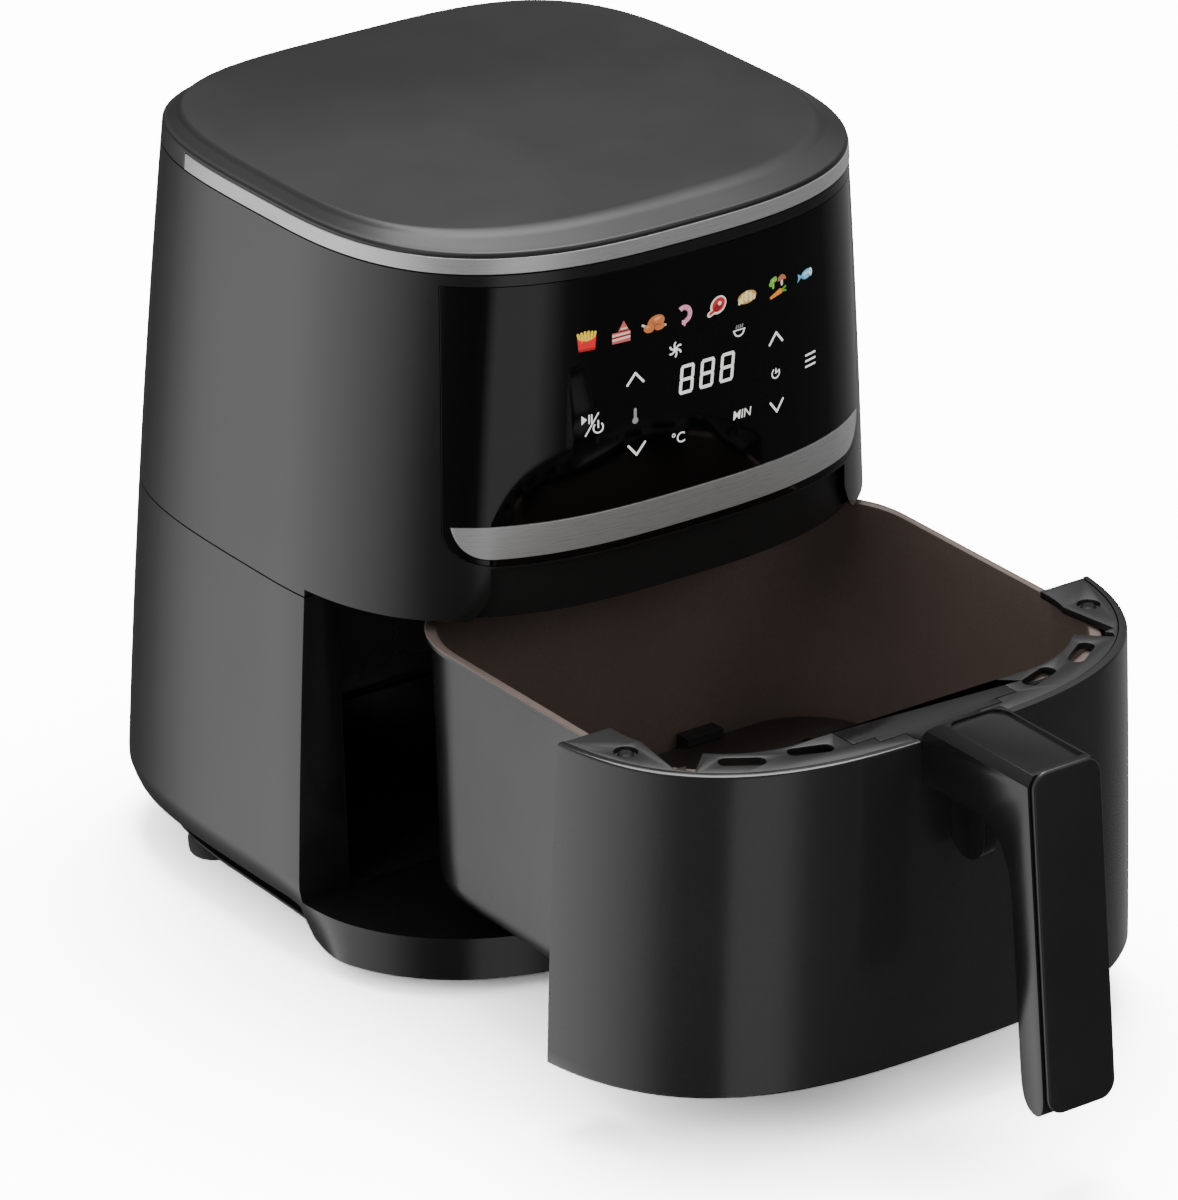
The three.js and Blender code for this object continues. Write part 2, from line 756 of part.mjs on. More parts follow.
function motorBracket() {
  const z = motor.bottom - FIT - 2;
  const half = postX + 8;
  const deck = extrudeXY(roundedShape(-half, half, rotor.y - 44, rotor.y + 44, 8), z, z + 2, 3);
  const legs = mountPosts.map(([x, y]) => cylinderZ(x, y, shield.z + SHEET + FIT, z + 1, 4.5, 10));
  return cut(join(deck, ...legs), cylinderZ(rotor.x, rotor.y, 0, REACH, rotor.shaft + RUN, 16));
}

function motorCase() {
  const { radius, bottom, height } = motor;
  const bore = rotor.shaft + RUN;
  const body = turned(
    [
      [bore, bottom],
      [radius, bottom],
      [radius, bottom + height - 3],
      [radius - 3, bottom + height],
      [bore, bottom + height],
      [bore, bottom],
    ],
    rotor.x,
    rotor.y,
    24,
  );
  const coreHalf = radius + 7;
  const core = box(-coreHalf, coreHalf, rotor.y - 14, rotor.y + 14, bottom + 5, bottom + height - 8);
  const shaftSpace = cylinderZ(rotor.x, rotor.y, bottom - 1, bottom + height + 1, bore, 16);
  return cut(join(body, core), shaftSpace);
}

function exhaustDuct() {
  const y1 = backDepth((vent.bottom + vent.top) / 2) - WALL - vent.thick - 1.5;
  const y0 = y1 - 26;
  const half = vent.halfWidth - 2;
  const outer = box(-half, half, y0, y1, vent.bottom - 1, vent.top + 1);
  const inner = box(2 - half, half - 2, y0 - 1, y1 + 1, vent.bottom + 1, vent.top - 1);
  return cut(outer, inner);
}

function circuitBoard(x0, x1, y0, y1, z0, z1, parts) {
  return join(box(x0, x1, y0, y1, z0, z1), ...parts.map((part) => box(...part)));
}

const displayY = () => frontY(70, panel.top - 20, panel.thick + 1) + 2;

function displayBoard() {
  const y = displayY();
  const z0 = panel.bottom + 29;
  return circuitBoard(-62, 62, y, y + 1.6, z0, panel.top - 11.5, [
    [-25, 25, y - 2.6, y + 0.5, z0 + 12, z0 + 44],
    [-58, -44, y + 1, y + 7, z0 + 4, z0 + 26],
    [40, 56, y + 1, y + 6, z0 + 48, z0 + 66],
  ]);
}

function displayCarrier() {
  const y = displayY() + 1.6 + FIT + 6;
  const z0 = chamberTop + 3;
  const z1 = panel.top - 7.5;
  const back = box(-70, 70, y, y + 2, z0, z1);
  const opening = box(-34, 34, y - 1, y + 3, z0 + 13, z1 - 22);
  const posts = [-66, 66].map((x) => box(x - 3, x + 3, y - 9, y + 1, z0 + 1, z1 - 1));
  return cut(join(back, ...posts), opening);
}

function powerBoard() {
  const x = -chamber.halfWidth + 12;
  const z = chamberTop + 16;
  return circuitBoard(x, x + 1.6, -36, 60, z, z + 60, [
    [x + 1, x + 24, -20, 6, z + 8, z + 30],
    [x + 1, x + 16, 14, 30, z + 8, z + 24],
    [x + 1, x + 14, 38, 52, z + 12, z + 36],
    [x + 1, x + 9, -30, -24, z + 36, z + 54],
  ]);
}

function thermalCutout() {
  const { x, y, radius } = cutout;
  return join(
    cylinderZ(x, y, chamberTop + FIT, chamberTop + 9, radius, 16),
    box(x - 6, x + 6, y - 2, y + 2, chamberTop + 6, chamberTop + 15),
  );
}

function temperatureSensor() {
  const { x, y, radius } = sensor;
  return join(
    cylinderZ(x, y, chamberTop - 16, chamberTop + 12, radius, 10),
    cylinderZ(x, y, chamberTop + FIT, chamberTop + 3, radius + 2.4, 12),
  );
}

function doorSwitch() {
  const y0 = bay.back + bay.liner + FIT;
  const body = box(plunger.x - 8, plunger.x + 8, y0, y0 + 10, plunger.z - 12, plunger.z + 12);
  return cut(body, cylinderY(plunger.x, plunger.z, y0 - 1, y0 + 8.4, plunger.radius + FIT, 12));
}

function switchPlunger() {
  const y1 = bay.back + bay.liner + 4;
  return cylinderY(plunger.x, plunger.z, basket.backY + FIT, y1, plunger.radius, 12);
}

// ---- Drawer, drawn closed and moved out as one group ----

const drawerTop = brow - drawer.gap + 0.3;
const drawerBottom = bay.deckTop + drawer.gap + 0.3;

function drawerFront() {
  const { wall, tipY, bevel, sleeveGap, inner } = drawer;
  const levels = bodyLevels(drawerBottom + 2 * bevel, drawerTop - bevel);
  const shell = cut(
    stack([
      outline(drawerBottom, bevel, false),
      ...levels.map((z) => outline(z, 0, false)),
      outline(drawerTop, bevel, false),
    ]),
    bodyStack(drawerBottom - 1, drawerTop + 1, wall, false),
  );
  const sleeve = (grow) => stack([0, REACH].map((z) => atHeight(basketRing(basket.top, grow), z)));
  const under = ringBottom - FIT;
  const floor = drawerBottom + 1;
  const block = bodyStack(floor, under, wall - 0.5, false);
  const hollow = cut(bodyStack(floor + inner, under + 1, wall, false), sleeve(sleeveGap + inner));
  const room = hollow.intersect(front(0, REACH, tipY - inner));
  const lugs = [-1, 1].map((side) =>
    cylinderZ(side * ringScrew[0], ringScrew[1], basket.top - 12, REACH, lugRadius + 1, 16),
  );
  const rootGap = extrudeXY(rootShape(FIT), under, REACH);
  const screwHoles = handleScrews.map(([x, z]) => cylinderY(x, z, -REACH, faceY + 8, pilot, 10));
  const body = join(shell, cut(block, sleeve(sleeveGap), room));
  return cut(body.intersect(front(0, REACH, tipY)), ...lugs, rootGap, ...screwHoles);
}

const faceY = frontY(0, brow);
const ringTop = drawerTop - drawer.ringIn;
const ringBottom = ringTop - drawer.ringThick;
const ringHoleX = halfWidth(brow) - ring.sideIn; // half the width of the ring's opening
const ringHoleY = faceY + ring.frontIn; // its front edge
const ringScrew = [bayHalf(brow) - 1.5 - bay.draft * housing.browRise, basket.frontY + 36];
const lugRadius = 6;

// The slots lie round the corner of the ring's opening: each is given by its angle on that corner
// and by how far it turns from the corner's tangent.
const ringSlots = [
  [-89, 18],
  [-61, 4],
];

// The open notches at the ring's ends, as [in from the side, in from the face].
const ringNotch = [
  [28.8, 43.7],
  [37.8, 36.3],
  [41.8, 26.7],
  [28.8, 5.7],
  [27.3, 7.9],
  [29.3, 12.1],
  [24.3, 8],
];

function ringSlot(side, angle, extraTurn) {
  const along = THREE.MathUtils.degToRad(angle);
  const out = ring.corner + ring.slotIn;
  const x = ringHoleX - ring.corner + out * Math.cos(along);
  const y = ringHoleY + ring.corner + out * Math.sin(along);
  const turn = along + Math.PI / 2 + THREE.MathUtils.degToRad(extraTurn);
  const half = ring.slotLength / 2;
  const shape = roundedShape(-half, half, -ring.slotWidth / 2, ring.slotWidth / 2, 3);
  const options = { depth: 10, bevelEnabled: false, curveSegments: 3 };
  const slot = new THREE.ExtrudeGeometry(shape, options).rotateZ(side * turn);
  return solid(slot.translate(side * x, y, ringBottom - 3));
}

function drawerRing() {
  const low = ringBottom - 1;
  const high = ringTop + 1;
  const edge = outline(brow, drawer.wall + FIT, false);
  const disc = stack([ringBottom, ringTop].map((z) => atHeight(edge, z)));
  const hole = stack(
    [low, high].map((z) =>
      roundRing(-ringHoleX, ringHoleX, ringHoleY, ringHoleY + REACH, ring.corner, z, 8),
    ),
  );
  const openings = [extrudeXY(rootShape(FIT), low, high)];
  for (const side of [-1, 1]) {
    const [x, y] = ringScrew;
    openings.push(...ringSlots.map((place) => ringSlot(side, ...place)));
    openings.push(cylinderZ(side * x, y, low, high, pilot, 10));
    openings.push(cylinderZ(side * x, y, ringBottom + 1, high, 4.6, 16));
    const notch = ringNotch.map(([fromSide, fromFace]) => {
      const u = halfWidth(brow) - fromSide;
      return [side * u, frontY(u, brow) + fromFace];
    });
    openings.push(extrudeXY(polygon(side > 0 ? notch : notch.reverse()), low, high));
  }
  return cut(disc.intersect(front(0, REACH, drawer.tipY)), hole, ...openings);
}

// The handle's root plate, let into the ring: stepped at both ends, and as wide as the arm
// where it passes over the drawer's face.
function rootShape(grow = 0) {
  const back = ringHoleY - 0.5;
  const half = handle.halfWidth;
  const right = [
    [half + 22 + grow, back + grow],
    [half + 22 + grow, back - 12 - grow],
    [half + 12 + grow, back - 12 - grow],
    [half + 12 + grow, back - 16 - grow],
    [half + grow, back - 16 - grow],
    [half + grow, faceY - 2],
  ];
  const left = right.map(([x, y]) => [-x, y]).reverse();
  return polygon([...left, ...right]);
}

const bracketHalf = handle.halfWidth + 5;
const bracketY = frontY(bracketHalf, brow, drawer.wall) + FIT;
const handleScrews = [
  [-9, brow - 11.1],
  [9, brow - 11.1],
];

function handleBracket() {
  const top = ringBottom - 1.3;
  const ledgeHalf = bracketHalf + 8;
  const upright = box(-bracketHalf, bracketHalf, bracketY, bracketY + 1.5, top - 45, top);
  const ledge = box(-ledgeHalf, ledgeHalf, bracketY + 0.4, bracketY + 14, top - 1.5, top);
  const holes = handleScrews.map(([x, z]) => cylinderY(x, z, bracketY - 1, bracketY + 3, pilot, 10));
  return cut(join(upright, ledge), ...holes);
}

// A pan-head screw along -Z whose head rests at seat.
function screwDown(seat, length) {
  return [
    [0, seat - length],
    [1.3, seat - length + 0.6],
    [1.3, seat + 0.1],
    [3.2, seat + 0.1],
    [3.2, seat + 0.9],
    [2.2, seat + 1.5],
    [0, seat + 1.5],
  ];
}

function ringScrewBody(side) {
  return turned(screwDown(ringBottom + 1 + FIT - 0.1, 9), side * ringScrew[0], ringScrew[1], 12);
}

function handleScrewBody([x, z]) {
  const profile = screwDown(0.1, 14).map(([r, along]) => new THREE.Vector2(r, along));
  return solid(new THREE.LatheGeometry(profile, 12).translate(x, bracketY + 1.5 + FIT - 0.2, z));
}

function basketRing(z, grow = 0) {
  const half = bayHalf(z) - basket.gapToBay + grow;
  const round = Math.max(0, basket.bottom + basket.floorRound - z) / basket.floorRound;
  const inset = basket.floorRound * (1 - Math.sqrt(Math.max(0, 1 - round ** 2)));
  return roundRing(
    -half + inset,
    half - inset,
    basket.frontY - grow + inset,
    basket.backY + grow - inset,
    Math.max(basket.corner - inset, 8),
    z,
    6,
  );
}

function basketTub() {
  const { top, bottom, wall, lip, lipHeight, floorRound } = basket;
  const rise = [0, 0.3, 0.62, 1].map((share) => bottom + floorRound * share);
  const outer = stack([
    ...rise.map((z) => basketRing(z, -lip + wall)),
    basketRing(top - lipHeight - 0.01, -lip + wall),
    basketRing(top - lipHeight, 0),
    basketRing(top, 0),
  ]);
  const inner = stack([
    ...rise.map((z) => atHeight(basketRing(z, -lip), z + wall)),
    basketRing(top, -lip),
    atHeight(basketRing(top, -lip), top + 1),
  ]);
  const [x, y] = ringScrew;
  const lugs = [-1, 1].map((side) => cylinderZ(side * x, y, top - 1.6, top, lugRadius, 16));
  const holes = [-1, 1].map((side) => cylinderZ(side * x, y, 0, REACH, pilot, 10));
  return cut(join(outer, ...lugs), inner, ...holes);
}

const plateIn = basket.lip + plate.gap; // from the basket's rim line to the plate's edge
const plateHalf = bayHalf(plate.z) - basket.gapToBay - plateIn;
const plateFront = basket.frontY + plateIn;
const plateBack = basket.backY - plateIn;

function crisperPlate() {
  const { z, thick, legIn, legs } = plate;
  const corner = basket.corner - plateIn;
  const rim = (level) => roundRing(-plateHalf, plateHalf, plateFront, plateBack, corner, level, 5);
  const slots = [];
  const pitch = (2 * plateHalf - 30) / plate.slots;
  for (let i = 0; i < plate.slots; i++) {
    for (let j = 0; j < 4; j++) {
      const x = -plateHalf + 15 + (i + 0.5) * pitch;
      const y = plateFront + 18 + ((plateBack - plateFront - 36) * (j + 0.5)) / 4;
      slots.push(box(x - 3, x + 3, y - 13, y + 13, z - 1, z + 4));
    }
  }
  const feet = [];
  for (const x of [-plateHalf + legIn, plateHalf - legIn]) {
    for (const y of [plateFront + 6, plateBack - 6]) {
      feet.push(box(x - 6, x + 6, y - 1, y + 1, z - legs, z + 0.5));
    }
  }
  return join(cut(stack([z, z + thick].map(rim)), ...slots), ...feet);
}

// A silicone block that grips the plate's edge and bears on the basket; side is -1 at the front.
function bumper(x, side) {
  const { z, thick } = plate;
  const y = side < 0 ? plateFront : plateBack;
  const span = (from, to) => [y + side * from, y + side * to].sort((a, b) => a - b);
  const block = box(x - 9, x + 9, ...span(-3, plate.bumper), z - 4, z + 5.6);
  const groove = box(x - 10, x + 10, ...span(-4, FIT), z - FIT, z + thick + FIT);
  return cut(block, groove);
}

// ---- Handle ----

const gripOutY = (z) => faceY - handle.gripOut - handle.lean * (handle.armTop - z);
const gripInY = (z) => gripOutY(z) + handle.gripThick;

// The arm and the grip in one outline, seen from the side.
function handleSide() {
  const top = handle.armTop;
  const low = handle.gripBottom;
  const under = top - handle.armThick;
  const back = faceY + 4; // trimmed to the drawer's curved face
  const side = new THREE.Shape();
  side.moveTo(back, under);
  side.lineTo(back, ringTop);
  side.lineTo(faceY + 1.5, ringTop);
  side.lineTo(faceY - 5, top);
  side.lineTo(gripOutY(top) + handle.cover, top);
  side.lineTo(gripOutY(low + 10) + handle.cover, low + 10);
  side.quadraticCurveTo(gripOutY(low) + handle.cover, low, gripOutY(low) + handle.cover + 5, low);
  side.quadraticCurveTo(gripInY(low), low, gripInY(low + 14), low + 14);
  side.lineTo(gripInY(under - 28), under - 28);
  side.quadraticCurveTo(gripInY(under - 2), under - 2, faceY - 32, under);
  return side;
}

function handleBody() {
  const top = handle.armTop;
  const half = handle.halfWidth;
  const under = top - handle.armThick;
  const arm = extrudeYZ(handleSide(), -half, half, 6);
  const floor = top - handle.channel;
  const channel = box(-half + 4, half - 4, gripOutY(top) + 6, faceY - 8, floor, top + 5);
  const slope = handle.bevelDown / handle.bevelIn;
  const bevels = [-1, 1].map((side) => {
    const points = [
      [side * (half - handle.bevelIn), top + 0.01],
      [side * (half + 1), top - handle.bevelDown - slope],
      [side * (half + 1), top + 0.01],
    ];
    return extrudeXZ(polygon(side > 0 ? points : points.reverse()), -REACH, 0);
  });
  const ribRound = handle.ribOut / 2;
  const ribZ = top - handle.ribDrop + ribRound;
  const rib = new THREE.Shape();
  rib.moveTo(faceY, under + 4);
  rib.lineTo(faceY, ribZ);
  rib.absarc(faceY - ribRound, ribZ, ribRound, 0, -Math.PI, true);
  rib.lineTo(faceY - handle.ribOut, under + 4);
  const root = extrudeXY(rootShape(), ringBottom, ringTop);
  const clear = bodyStack(drawerBottom, ringBottom, -FIT, false);
  const pilots = handleScrews.map(([x, z]) => cylinderY(x, z, faceY - 14, faceY + 1, 1.6, 10));
  const body = join(cut(arm, channel, ...bevels), extrudeYZ(rib, -handle.rib / 2, handle.rib / 2));
  const overFace = box(-half - 1, half + 1, faceY + 0.5, 0, ringBottom - 1, top + 1);
  return cut(join(cut(body, clear, overFace), root), ...pilots);
}

function handleCover() {
  const half = handle.halfWidth - handle.coverIn;
  const high = handle.armTop + 1.2;
  const low = handle.gripBottom + 2;
  const slab = extrudeXZ(roundedShape(-half, half, low, high, 7), -REACH, 0, 4);
  const behind = handle.cover - FIT;
  const wedge = polygon([
    [gripOutY(low - 5), low - 5],
    [gripOutY(low - 5) + behind, low - 5],
    [gripOutY(high + 5) + behind, high + 5],
    [gripOutY(high + 5), high + 5],
  ]);
  return slab.intersect(extrudeYZ(wedge, -REACH, REACH));
}

// ---- Materials and assembly ----

function finish(color, roughness, metalness = 0) {
  return new THREE.MeshStandardMaterial({ color, roughness, metalness });
}

const gloss = finish(0x1b1b1c, 0.18);
const satin = finish(0x2a2a2b, 0.4);
const matte = finish(0x101010, 0.7);
const silver = finish(0xc9c9c8, 0.28, 1);
const coated = finish(0x2c2421, 0.55);
const steel = finish(0xa9a9a6, 0.35, 1);
const rubberBlack = finish(0x141414, 0.9);
const glass = finish(0x050505, 0.06);
const boardGreen = finish(0x1f4a2c, 0.6);
const ceramic = finish(0xe6e0d2, 0.6);
const silicone = finish(0x1d1d1d, 0.75);

const airFryer = new THREE.Group();
const appliance = new THREE.Group();
airFryer.add(appliance);

function add(name, body, material, group = appliance) {
  const mesh = new THREE.Mesh(geometryOf(body), material);
  mesh.name = name;
  group.add(mesh);
}

add("lower_housing", lowerHousing(), gloss);
add("bay_liner", bayLiner(), matte);
add("base_plate", basePlate(), matte);
screwPlaces.forEach(([x, y], i) => add(`base_screw_${i + 1}`, screw(x, y), steel));
add("foot_rear_left", rubberFoot(-foot.rearX, foot.rearY), rubberBlack);
add("foot_rear_right", rubberFoot(foot.rearX, foot.rearY), rubberBlack);
add("foot_front_left", rubberFoot(-foot.frontX, foot.frontY), rubberBlack);
add("foot_front_right", rubberFoot(foot.frontX, foot.frontY), rubberBlack);
add("upper_housing", upperHousing(), gloss);
add("arch_plate", archPlate(), matte);
add("control_panel", controlPanel(), glass);
add("lower_trim", lowerTrim(), silver);
add("top_lid", topLid(), satin);
add("top_trim", topTrimBand(), silver);
add("rear_grille", rearGrille(), matte);
add("cord_gland", cordGland(), rubberBlack);
add("exhaust_duct", exhaustDuct(), matte);
add("chamber_liner", chamberLiner(), steel);
add("heat_shield", heatShield(), steel);
add("heating_element", heatingElement(), steel);
add("element_bushing", elementBushing(), ceramic);
add("fan_guard", fanGuard(), steel);
add("motor_bracket", motorBracket(), steel);
add("motor", motorCase(), steel);
add("thermal_cutout", thermalCutout(), ceramic);
add("temperature_sensor", temperatureSensor(), steel);
add("display_board", displayBoard(), boardGreen);
add("display_carrier", displayCarrier(), matte);
add("power_board", powerBoard(), boardGreen);
add("door_switch", doorSwitch(), matte);
add("switch_plunger", switchPlunger(), satin);
add("motor_shaft", motorShaft(), steel);
add("convection_fan", fan(rotor.fanZ, rotor.fanHeight, rotor.fanRadius, 10, rotor.shaft + FIT), steel);
add("cooling_fan", fan(rotor.coolZ, rotor.coolHeight, rotor.coolRadius, 9, rotor.shaft + FIT), satin);

const pulled = new THREE.Group();
pulled.position.y = -drawerOut;
appliance.add(pulled);

add("drawer_front", drawerFront(), gloss, pulled);
add("drawer_ring", drawerRing(), matte, pulled);
add("basket", basketTub(), coated, pulled);
add("handle_bracket", handleBracket(), matte, pulled);
add("handle_body", handleBody(), gloss, pulled);
add("handle_cover", handleCover(), satin, pulled);
[-1, 1].forEach((side, i) => {
  add(`ring_screw_${i + 1}`, ringScrewBody(side), steel, pulled);
  add(`handle_screw_${i + 1}`, handleScrewBody(handleScrews[i]), steel, pulled);
});
add("crisper_plate", crisperPlate(), coated, pulled);
let bumperIndex = 1;
for (const side of [-1, 1]) {
  for (const x of [-plate.bumperX, plate.bumperX]) {
    add(`plate_bumper_${bumperIndex}`, bumper(x, side), silicone, pulled);
    bumperIndex += 1;
  }
}

const extent = new THREE.Box3().setFromObject(airFryer);
appliance.position.y = -(extent.min.y + extent.max.y) / 2;

export default airFryer;
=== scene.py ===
"""Looks of a basket air fryer with its drawer pulled out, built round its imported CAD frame."""
import math

import bpy
import numpy as np
from mathutils import Matrix, Vector


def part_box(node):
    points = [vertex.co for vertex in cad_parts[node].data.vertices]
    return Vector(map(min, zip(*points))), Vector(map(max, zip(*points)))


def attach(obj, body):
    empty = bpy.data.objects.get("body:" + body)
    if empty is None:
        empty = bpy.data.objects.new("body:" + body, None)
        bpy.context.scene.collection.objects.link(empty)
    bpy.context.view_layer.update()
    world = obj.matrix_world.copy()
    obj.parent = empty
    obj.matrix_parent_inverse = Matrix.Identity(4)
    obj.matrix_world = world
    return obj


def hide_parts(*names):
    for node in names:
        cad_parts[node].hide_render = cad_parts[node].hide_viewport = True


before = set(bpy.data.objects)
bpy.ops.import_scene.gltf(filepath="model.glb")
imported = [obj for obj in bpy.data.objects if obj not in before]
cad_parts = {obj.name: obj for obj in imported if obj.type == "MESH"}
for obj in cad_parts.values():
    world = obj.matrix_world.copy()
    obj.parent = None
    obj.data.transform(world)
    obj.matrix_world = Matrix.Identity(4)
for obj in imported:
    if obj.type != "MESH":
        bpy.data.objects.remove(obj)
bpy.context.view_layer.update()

# ---- Sizes in metres, as drawn: the drawer shut, y = 0 on the body's widest line ----

MM = 0.001
FIT = 0.3 * MM
WALL = 3 * MM
AROUND = 256  # points round a body outline
BODY_BOTTOM, SEAM, BROW, LID_SEAM = 8 * MM, 158.8 * MM, 162.1 * MM, 304.6 * MM
SEAM_GAP = 0.6 * MM
HALF, FRONT_DEPTH, BACK_DEPTH = 130 * MM, 112 * MM, 140 * MM
SIDE_TAPER, SIDE_CROWN, FRONT_TAPER, BACK_TAPER = 0.0523, 0.118, 0.0136, 0.0718
FRONT_SQUARE, BACK_SQUARE = 2.8, 3.8
SKIRT_TOP, SKIRT_IN, SKIRT_FRONT, SKIRT_FULL = 33 * MM, 12 * MM, -58 * MM, -17 * MM
JAMB_Y, JAMB_WIDTH, BAY_DRAFT, DECK = -31 * MM, 17 * MM, 0.03, 26 * MM
BAY_BACK, BAY_CORNER, LINER, LINER_TOP = 116 * MM, 48 * MM, 2 * MM, 154 * MM
PANEL_LOW, PANEL_HIGH, PANEL_THICK, PANEL_CORNER = 185 * MM, 299.5 * MM, 2.6 * MM, 13 * MM
STRIP_LOW, STRIP_HIGH = 187.8 * MM, 201.2 * MM
TIP_Y = -32.6 * MM
DRAWER_LOW, DRAWER_HIGH = 27.2 * MM, 161.5 * MM
RING_TOP, RING_THICK, RING_FRONT_IN, RING_SIDE_IN = 161.3 * MM, 3 * MM, 26.5 * MM, 26 * MM
BASKET_TOP, BASKET_BOTTOM, BASKET_FRONT, BASKET_BACK = 157.6 * MM, 43 * MM, -89 * MM, 108 * MM
BASKET_CORNER, BASKET_WALL, LIP, FLOOR_ROUND = 44 * MM, 1.4 * MM, 3.4 * MM, 12 * MM
GRIP_HALF, GRIP_LOW, GRIP_THICK = 17 * MM, 34 * MM, 15.5 * MM
ARM_TOP, GRIP_OUT = 171 * MM, 64.5 * MM
LEAN, COVER, RIB_OUT, RIB_LOW = 0.112, 2.6 * MM, 21 * MM, 113 * MM
SKIRT_STEP = 4 * MM  # between outlines where the body's foot curves in
BASKET_SLIDE = 0.9 * MM
GLAND_X, GLAND_Z, GLAND_HOLE = 62 * MM, 58 * MM, 6.5 * MM
PANEL_IN_LOW, PANEL_IN_HIGH = 27.5 * MM, 22 * MM
TRIM_OUT, STRIP_DEPTH = 0.3 * MM, 1.1 * MM
BAND_DEPTH, BAND_HIGH, BAND_END = 1.4 * MM, 6.6 * MM, 65 * MM
NOTCH_OUT, NOTCH_DEEP = 3.2 * MM, 5.4 * MM
GRILLE_HALF, GRILLE_LOW, GRILLE_HIGH, GRILLE_SLATS = 52 * MM, 232 * MM, 276 * MM, 7
LID_EDGE, LID_ROUND, LID_TOP = 312 * MM, 1.5 * MM, 317.5 * MM
SHOULDER_IN, SHOULDER_STRAIGHT = (8.5 * MM, 19 * MM, 5 * MM), 0.6
PAD_HALF, PAD_RISE, RAIL_LOW, RAIL_HIGH = 33 * MM, 1.6 * MM, 93 * MM, 96 * MM
POST_X, POST_Y, POST_LOW, POST_HIGH = 74 * MM, (6 * MM, 96 * MM), 14 * MM, 24.5 * MM
SWITCH_X, SWITCH_Z, SWITCH_HOLE = -58 * MM, 120 * MM, 2.7 * MM
PILOT, LUG, SCREW_HEAD = 1.7 * MM, 6 * MM, 4.6 * MM
SCREW_X, SCREW_Y = 111.5 * MM, -53 * MM
HANDLE_SCREW_X, HANDLE_SCREW_Z = 9 * MM, 151 * MM
RING_CORNER, SLOT_OUT, SLOT_HALF, SLOT_WIDE = 50 * MM, 7 * MM, 9 * MM, 3.3 * MM
SLOTS = ((-89, 18), (-61, 4))  # place round the ring's corner and further turn, in degrees
PLATE_Z, PLATE_THICK, PLATE_GAP, PLATE_SLOTS = 62 * MM, 1.6 * MM, 5.5 * MM, (7, 4)
FEET = {"rear": (106 * MM, 72 * MM), "front": (62 * MM, -76 * MM)}
PAPER = 9.0  # how bright the white paper is to the eye
FAR = 0.5  # past everything, for cutting tools

low_corner, high_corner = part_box("motor_shaft")
AXIS_Y = (low_corner.y + high_corner.y) / 2 - 10 * MM
DRAWER_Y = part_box("basket")[1].y - BASKET_BACK


# ---- The body's outline ----


def drop(z):
    return SEAM - z


def half_width(z):
    return HALF + SIDE_TAPER * drop(z) - SIDE_CROWN * drop(z) ** 2


def front_depth(z):
    return FRONT_DEPTH + FRONT_TAPER * drop(z)


def back_depth(z):
    return BACK_DEPTH + BACK_TAPER * drop(z)


def skirt_in(z, y):
    down = np.clip((SKIRT_TOP - z) / (SKIRT_TOP - BODY_BOTTOM), 0, 1)
    t = np.clip((y - SKIRT_FRONT) / (SKIRT_FULL - SKIRT_FRONT), 0, 1)
    return SKIRT_IN * down**1.3 * t * t * (3 - 2 * t)


def outline(z, inset=0.0, skirt=False, lift=None):
    """Points round the body at height z, moved in by inset; lift gives them another height."""
    turn = np.arange(AROUND) * 2 * math.pi / AROUND
    c, s = np.cos(turn), np.sin(turn)
    front = s < -1e-9
    power = np.where(front, 2 / FRONT_SQUARE, 2 / BACK_SQUARE)
    depth = np.where(front, front_depth(z), back_depth(z))
    across = np.sign(c) * np.abs(c) ** power
    along = np.sign(s) * np.abs(s) ** power
    moved = inset + (skirt_in(z, depth * along) if skirt else 0)
    height = np.full(AROUND, z if lift is None else lift)
    return np.stack([(half_width(z) - moved) * across, (depth - moved) * along, height], 1)


def front_y(x, z, inset=0.0):
    share = np.minimum(1, np.abs(x) / (half_width(z) - inset))
    return -(front_depth(z) - inset) * (1 - share**FRONT_SQUARE) ** (1 / FRONT_SQUARE)


FACE_Y = float(front_y(0.0, BROW))


def hull_measure(p):
    """1 on the body's surface, more outside it."""
    x, y, z = p.T
    front = y < 0
    power = np.where(front, FRONT_SQUARE, BACK_SQUARE)
    moved = skirt_in(z, y)
    depth = np.where(front, front_depth(z), back_depth(z)) - moved
    return (np.abs(x) / (half_width(z) - moved)) ** power + (np.abs(y) / depth) ** power


def hull_normal(p):
    step = 0.05 * MM
    slopes = [
        hull_measure(p + step * axis) - hull_measure(p - step * axis) for axis in np.eye(3)
    ]
    n = np.stack(slopes, 1)
    return n / np.maximum(np.linalg.norm(n, axis=1, keepdims=True), 1e-9)


# ---- Modelling by operators ----


def only(piece):
    if bpy.context.mode != "OBJECT":
        bpy.ops.object.mode_set(mode="OBJECT")
    bpy.ops.object.select_all(action="DESELECT")
    piece.select_set(True)
    bpy.context.view_layer.objects.active = piece
    return piece


def apply_modifier(piece, kind, **settings):
    only(piece)
    modifier = piece.modifiers.new(kind.title(), kind)
    for name, value in settings.items():
        setattr(modifier, name, value)
    bpy.ops.object.modifier_apply(modifier=modifier.name)
    return piece


def start_piece(operator, **settings):
    """A new piece from one of Blender's own, with nothing else selected."""
    bpy.ops.object.select_all(action="DESELECT")
    operator(**settings)
    return bpy.context.active_object


def place_points(piece, points):
    piece.data.vertices.foreach_set("co", np.asarray(points, np.float32).ravel())
    piece.data.update()


def points_of(piece):
    flat = np.zeros(len(piece.data.vertices) * 3, np.float32)
    piece.data.vertices.foreach_get("co", flat)
    return flat.reshape(-1, 3).astype(float)


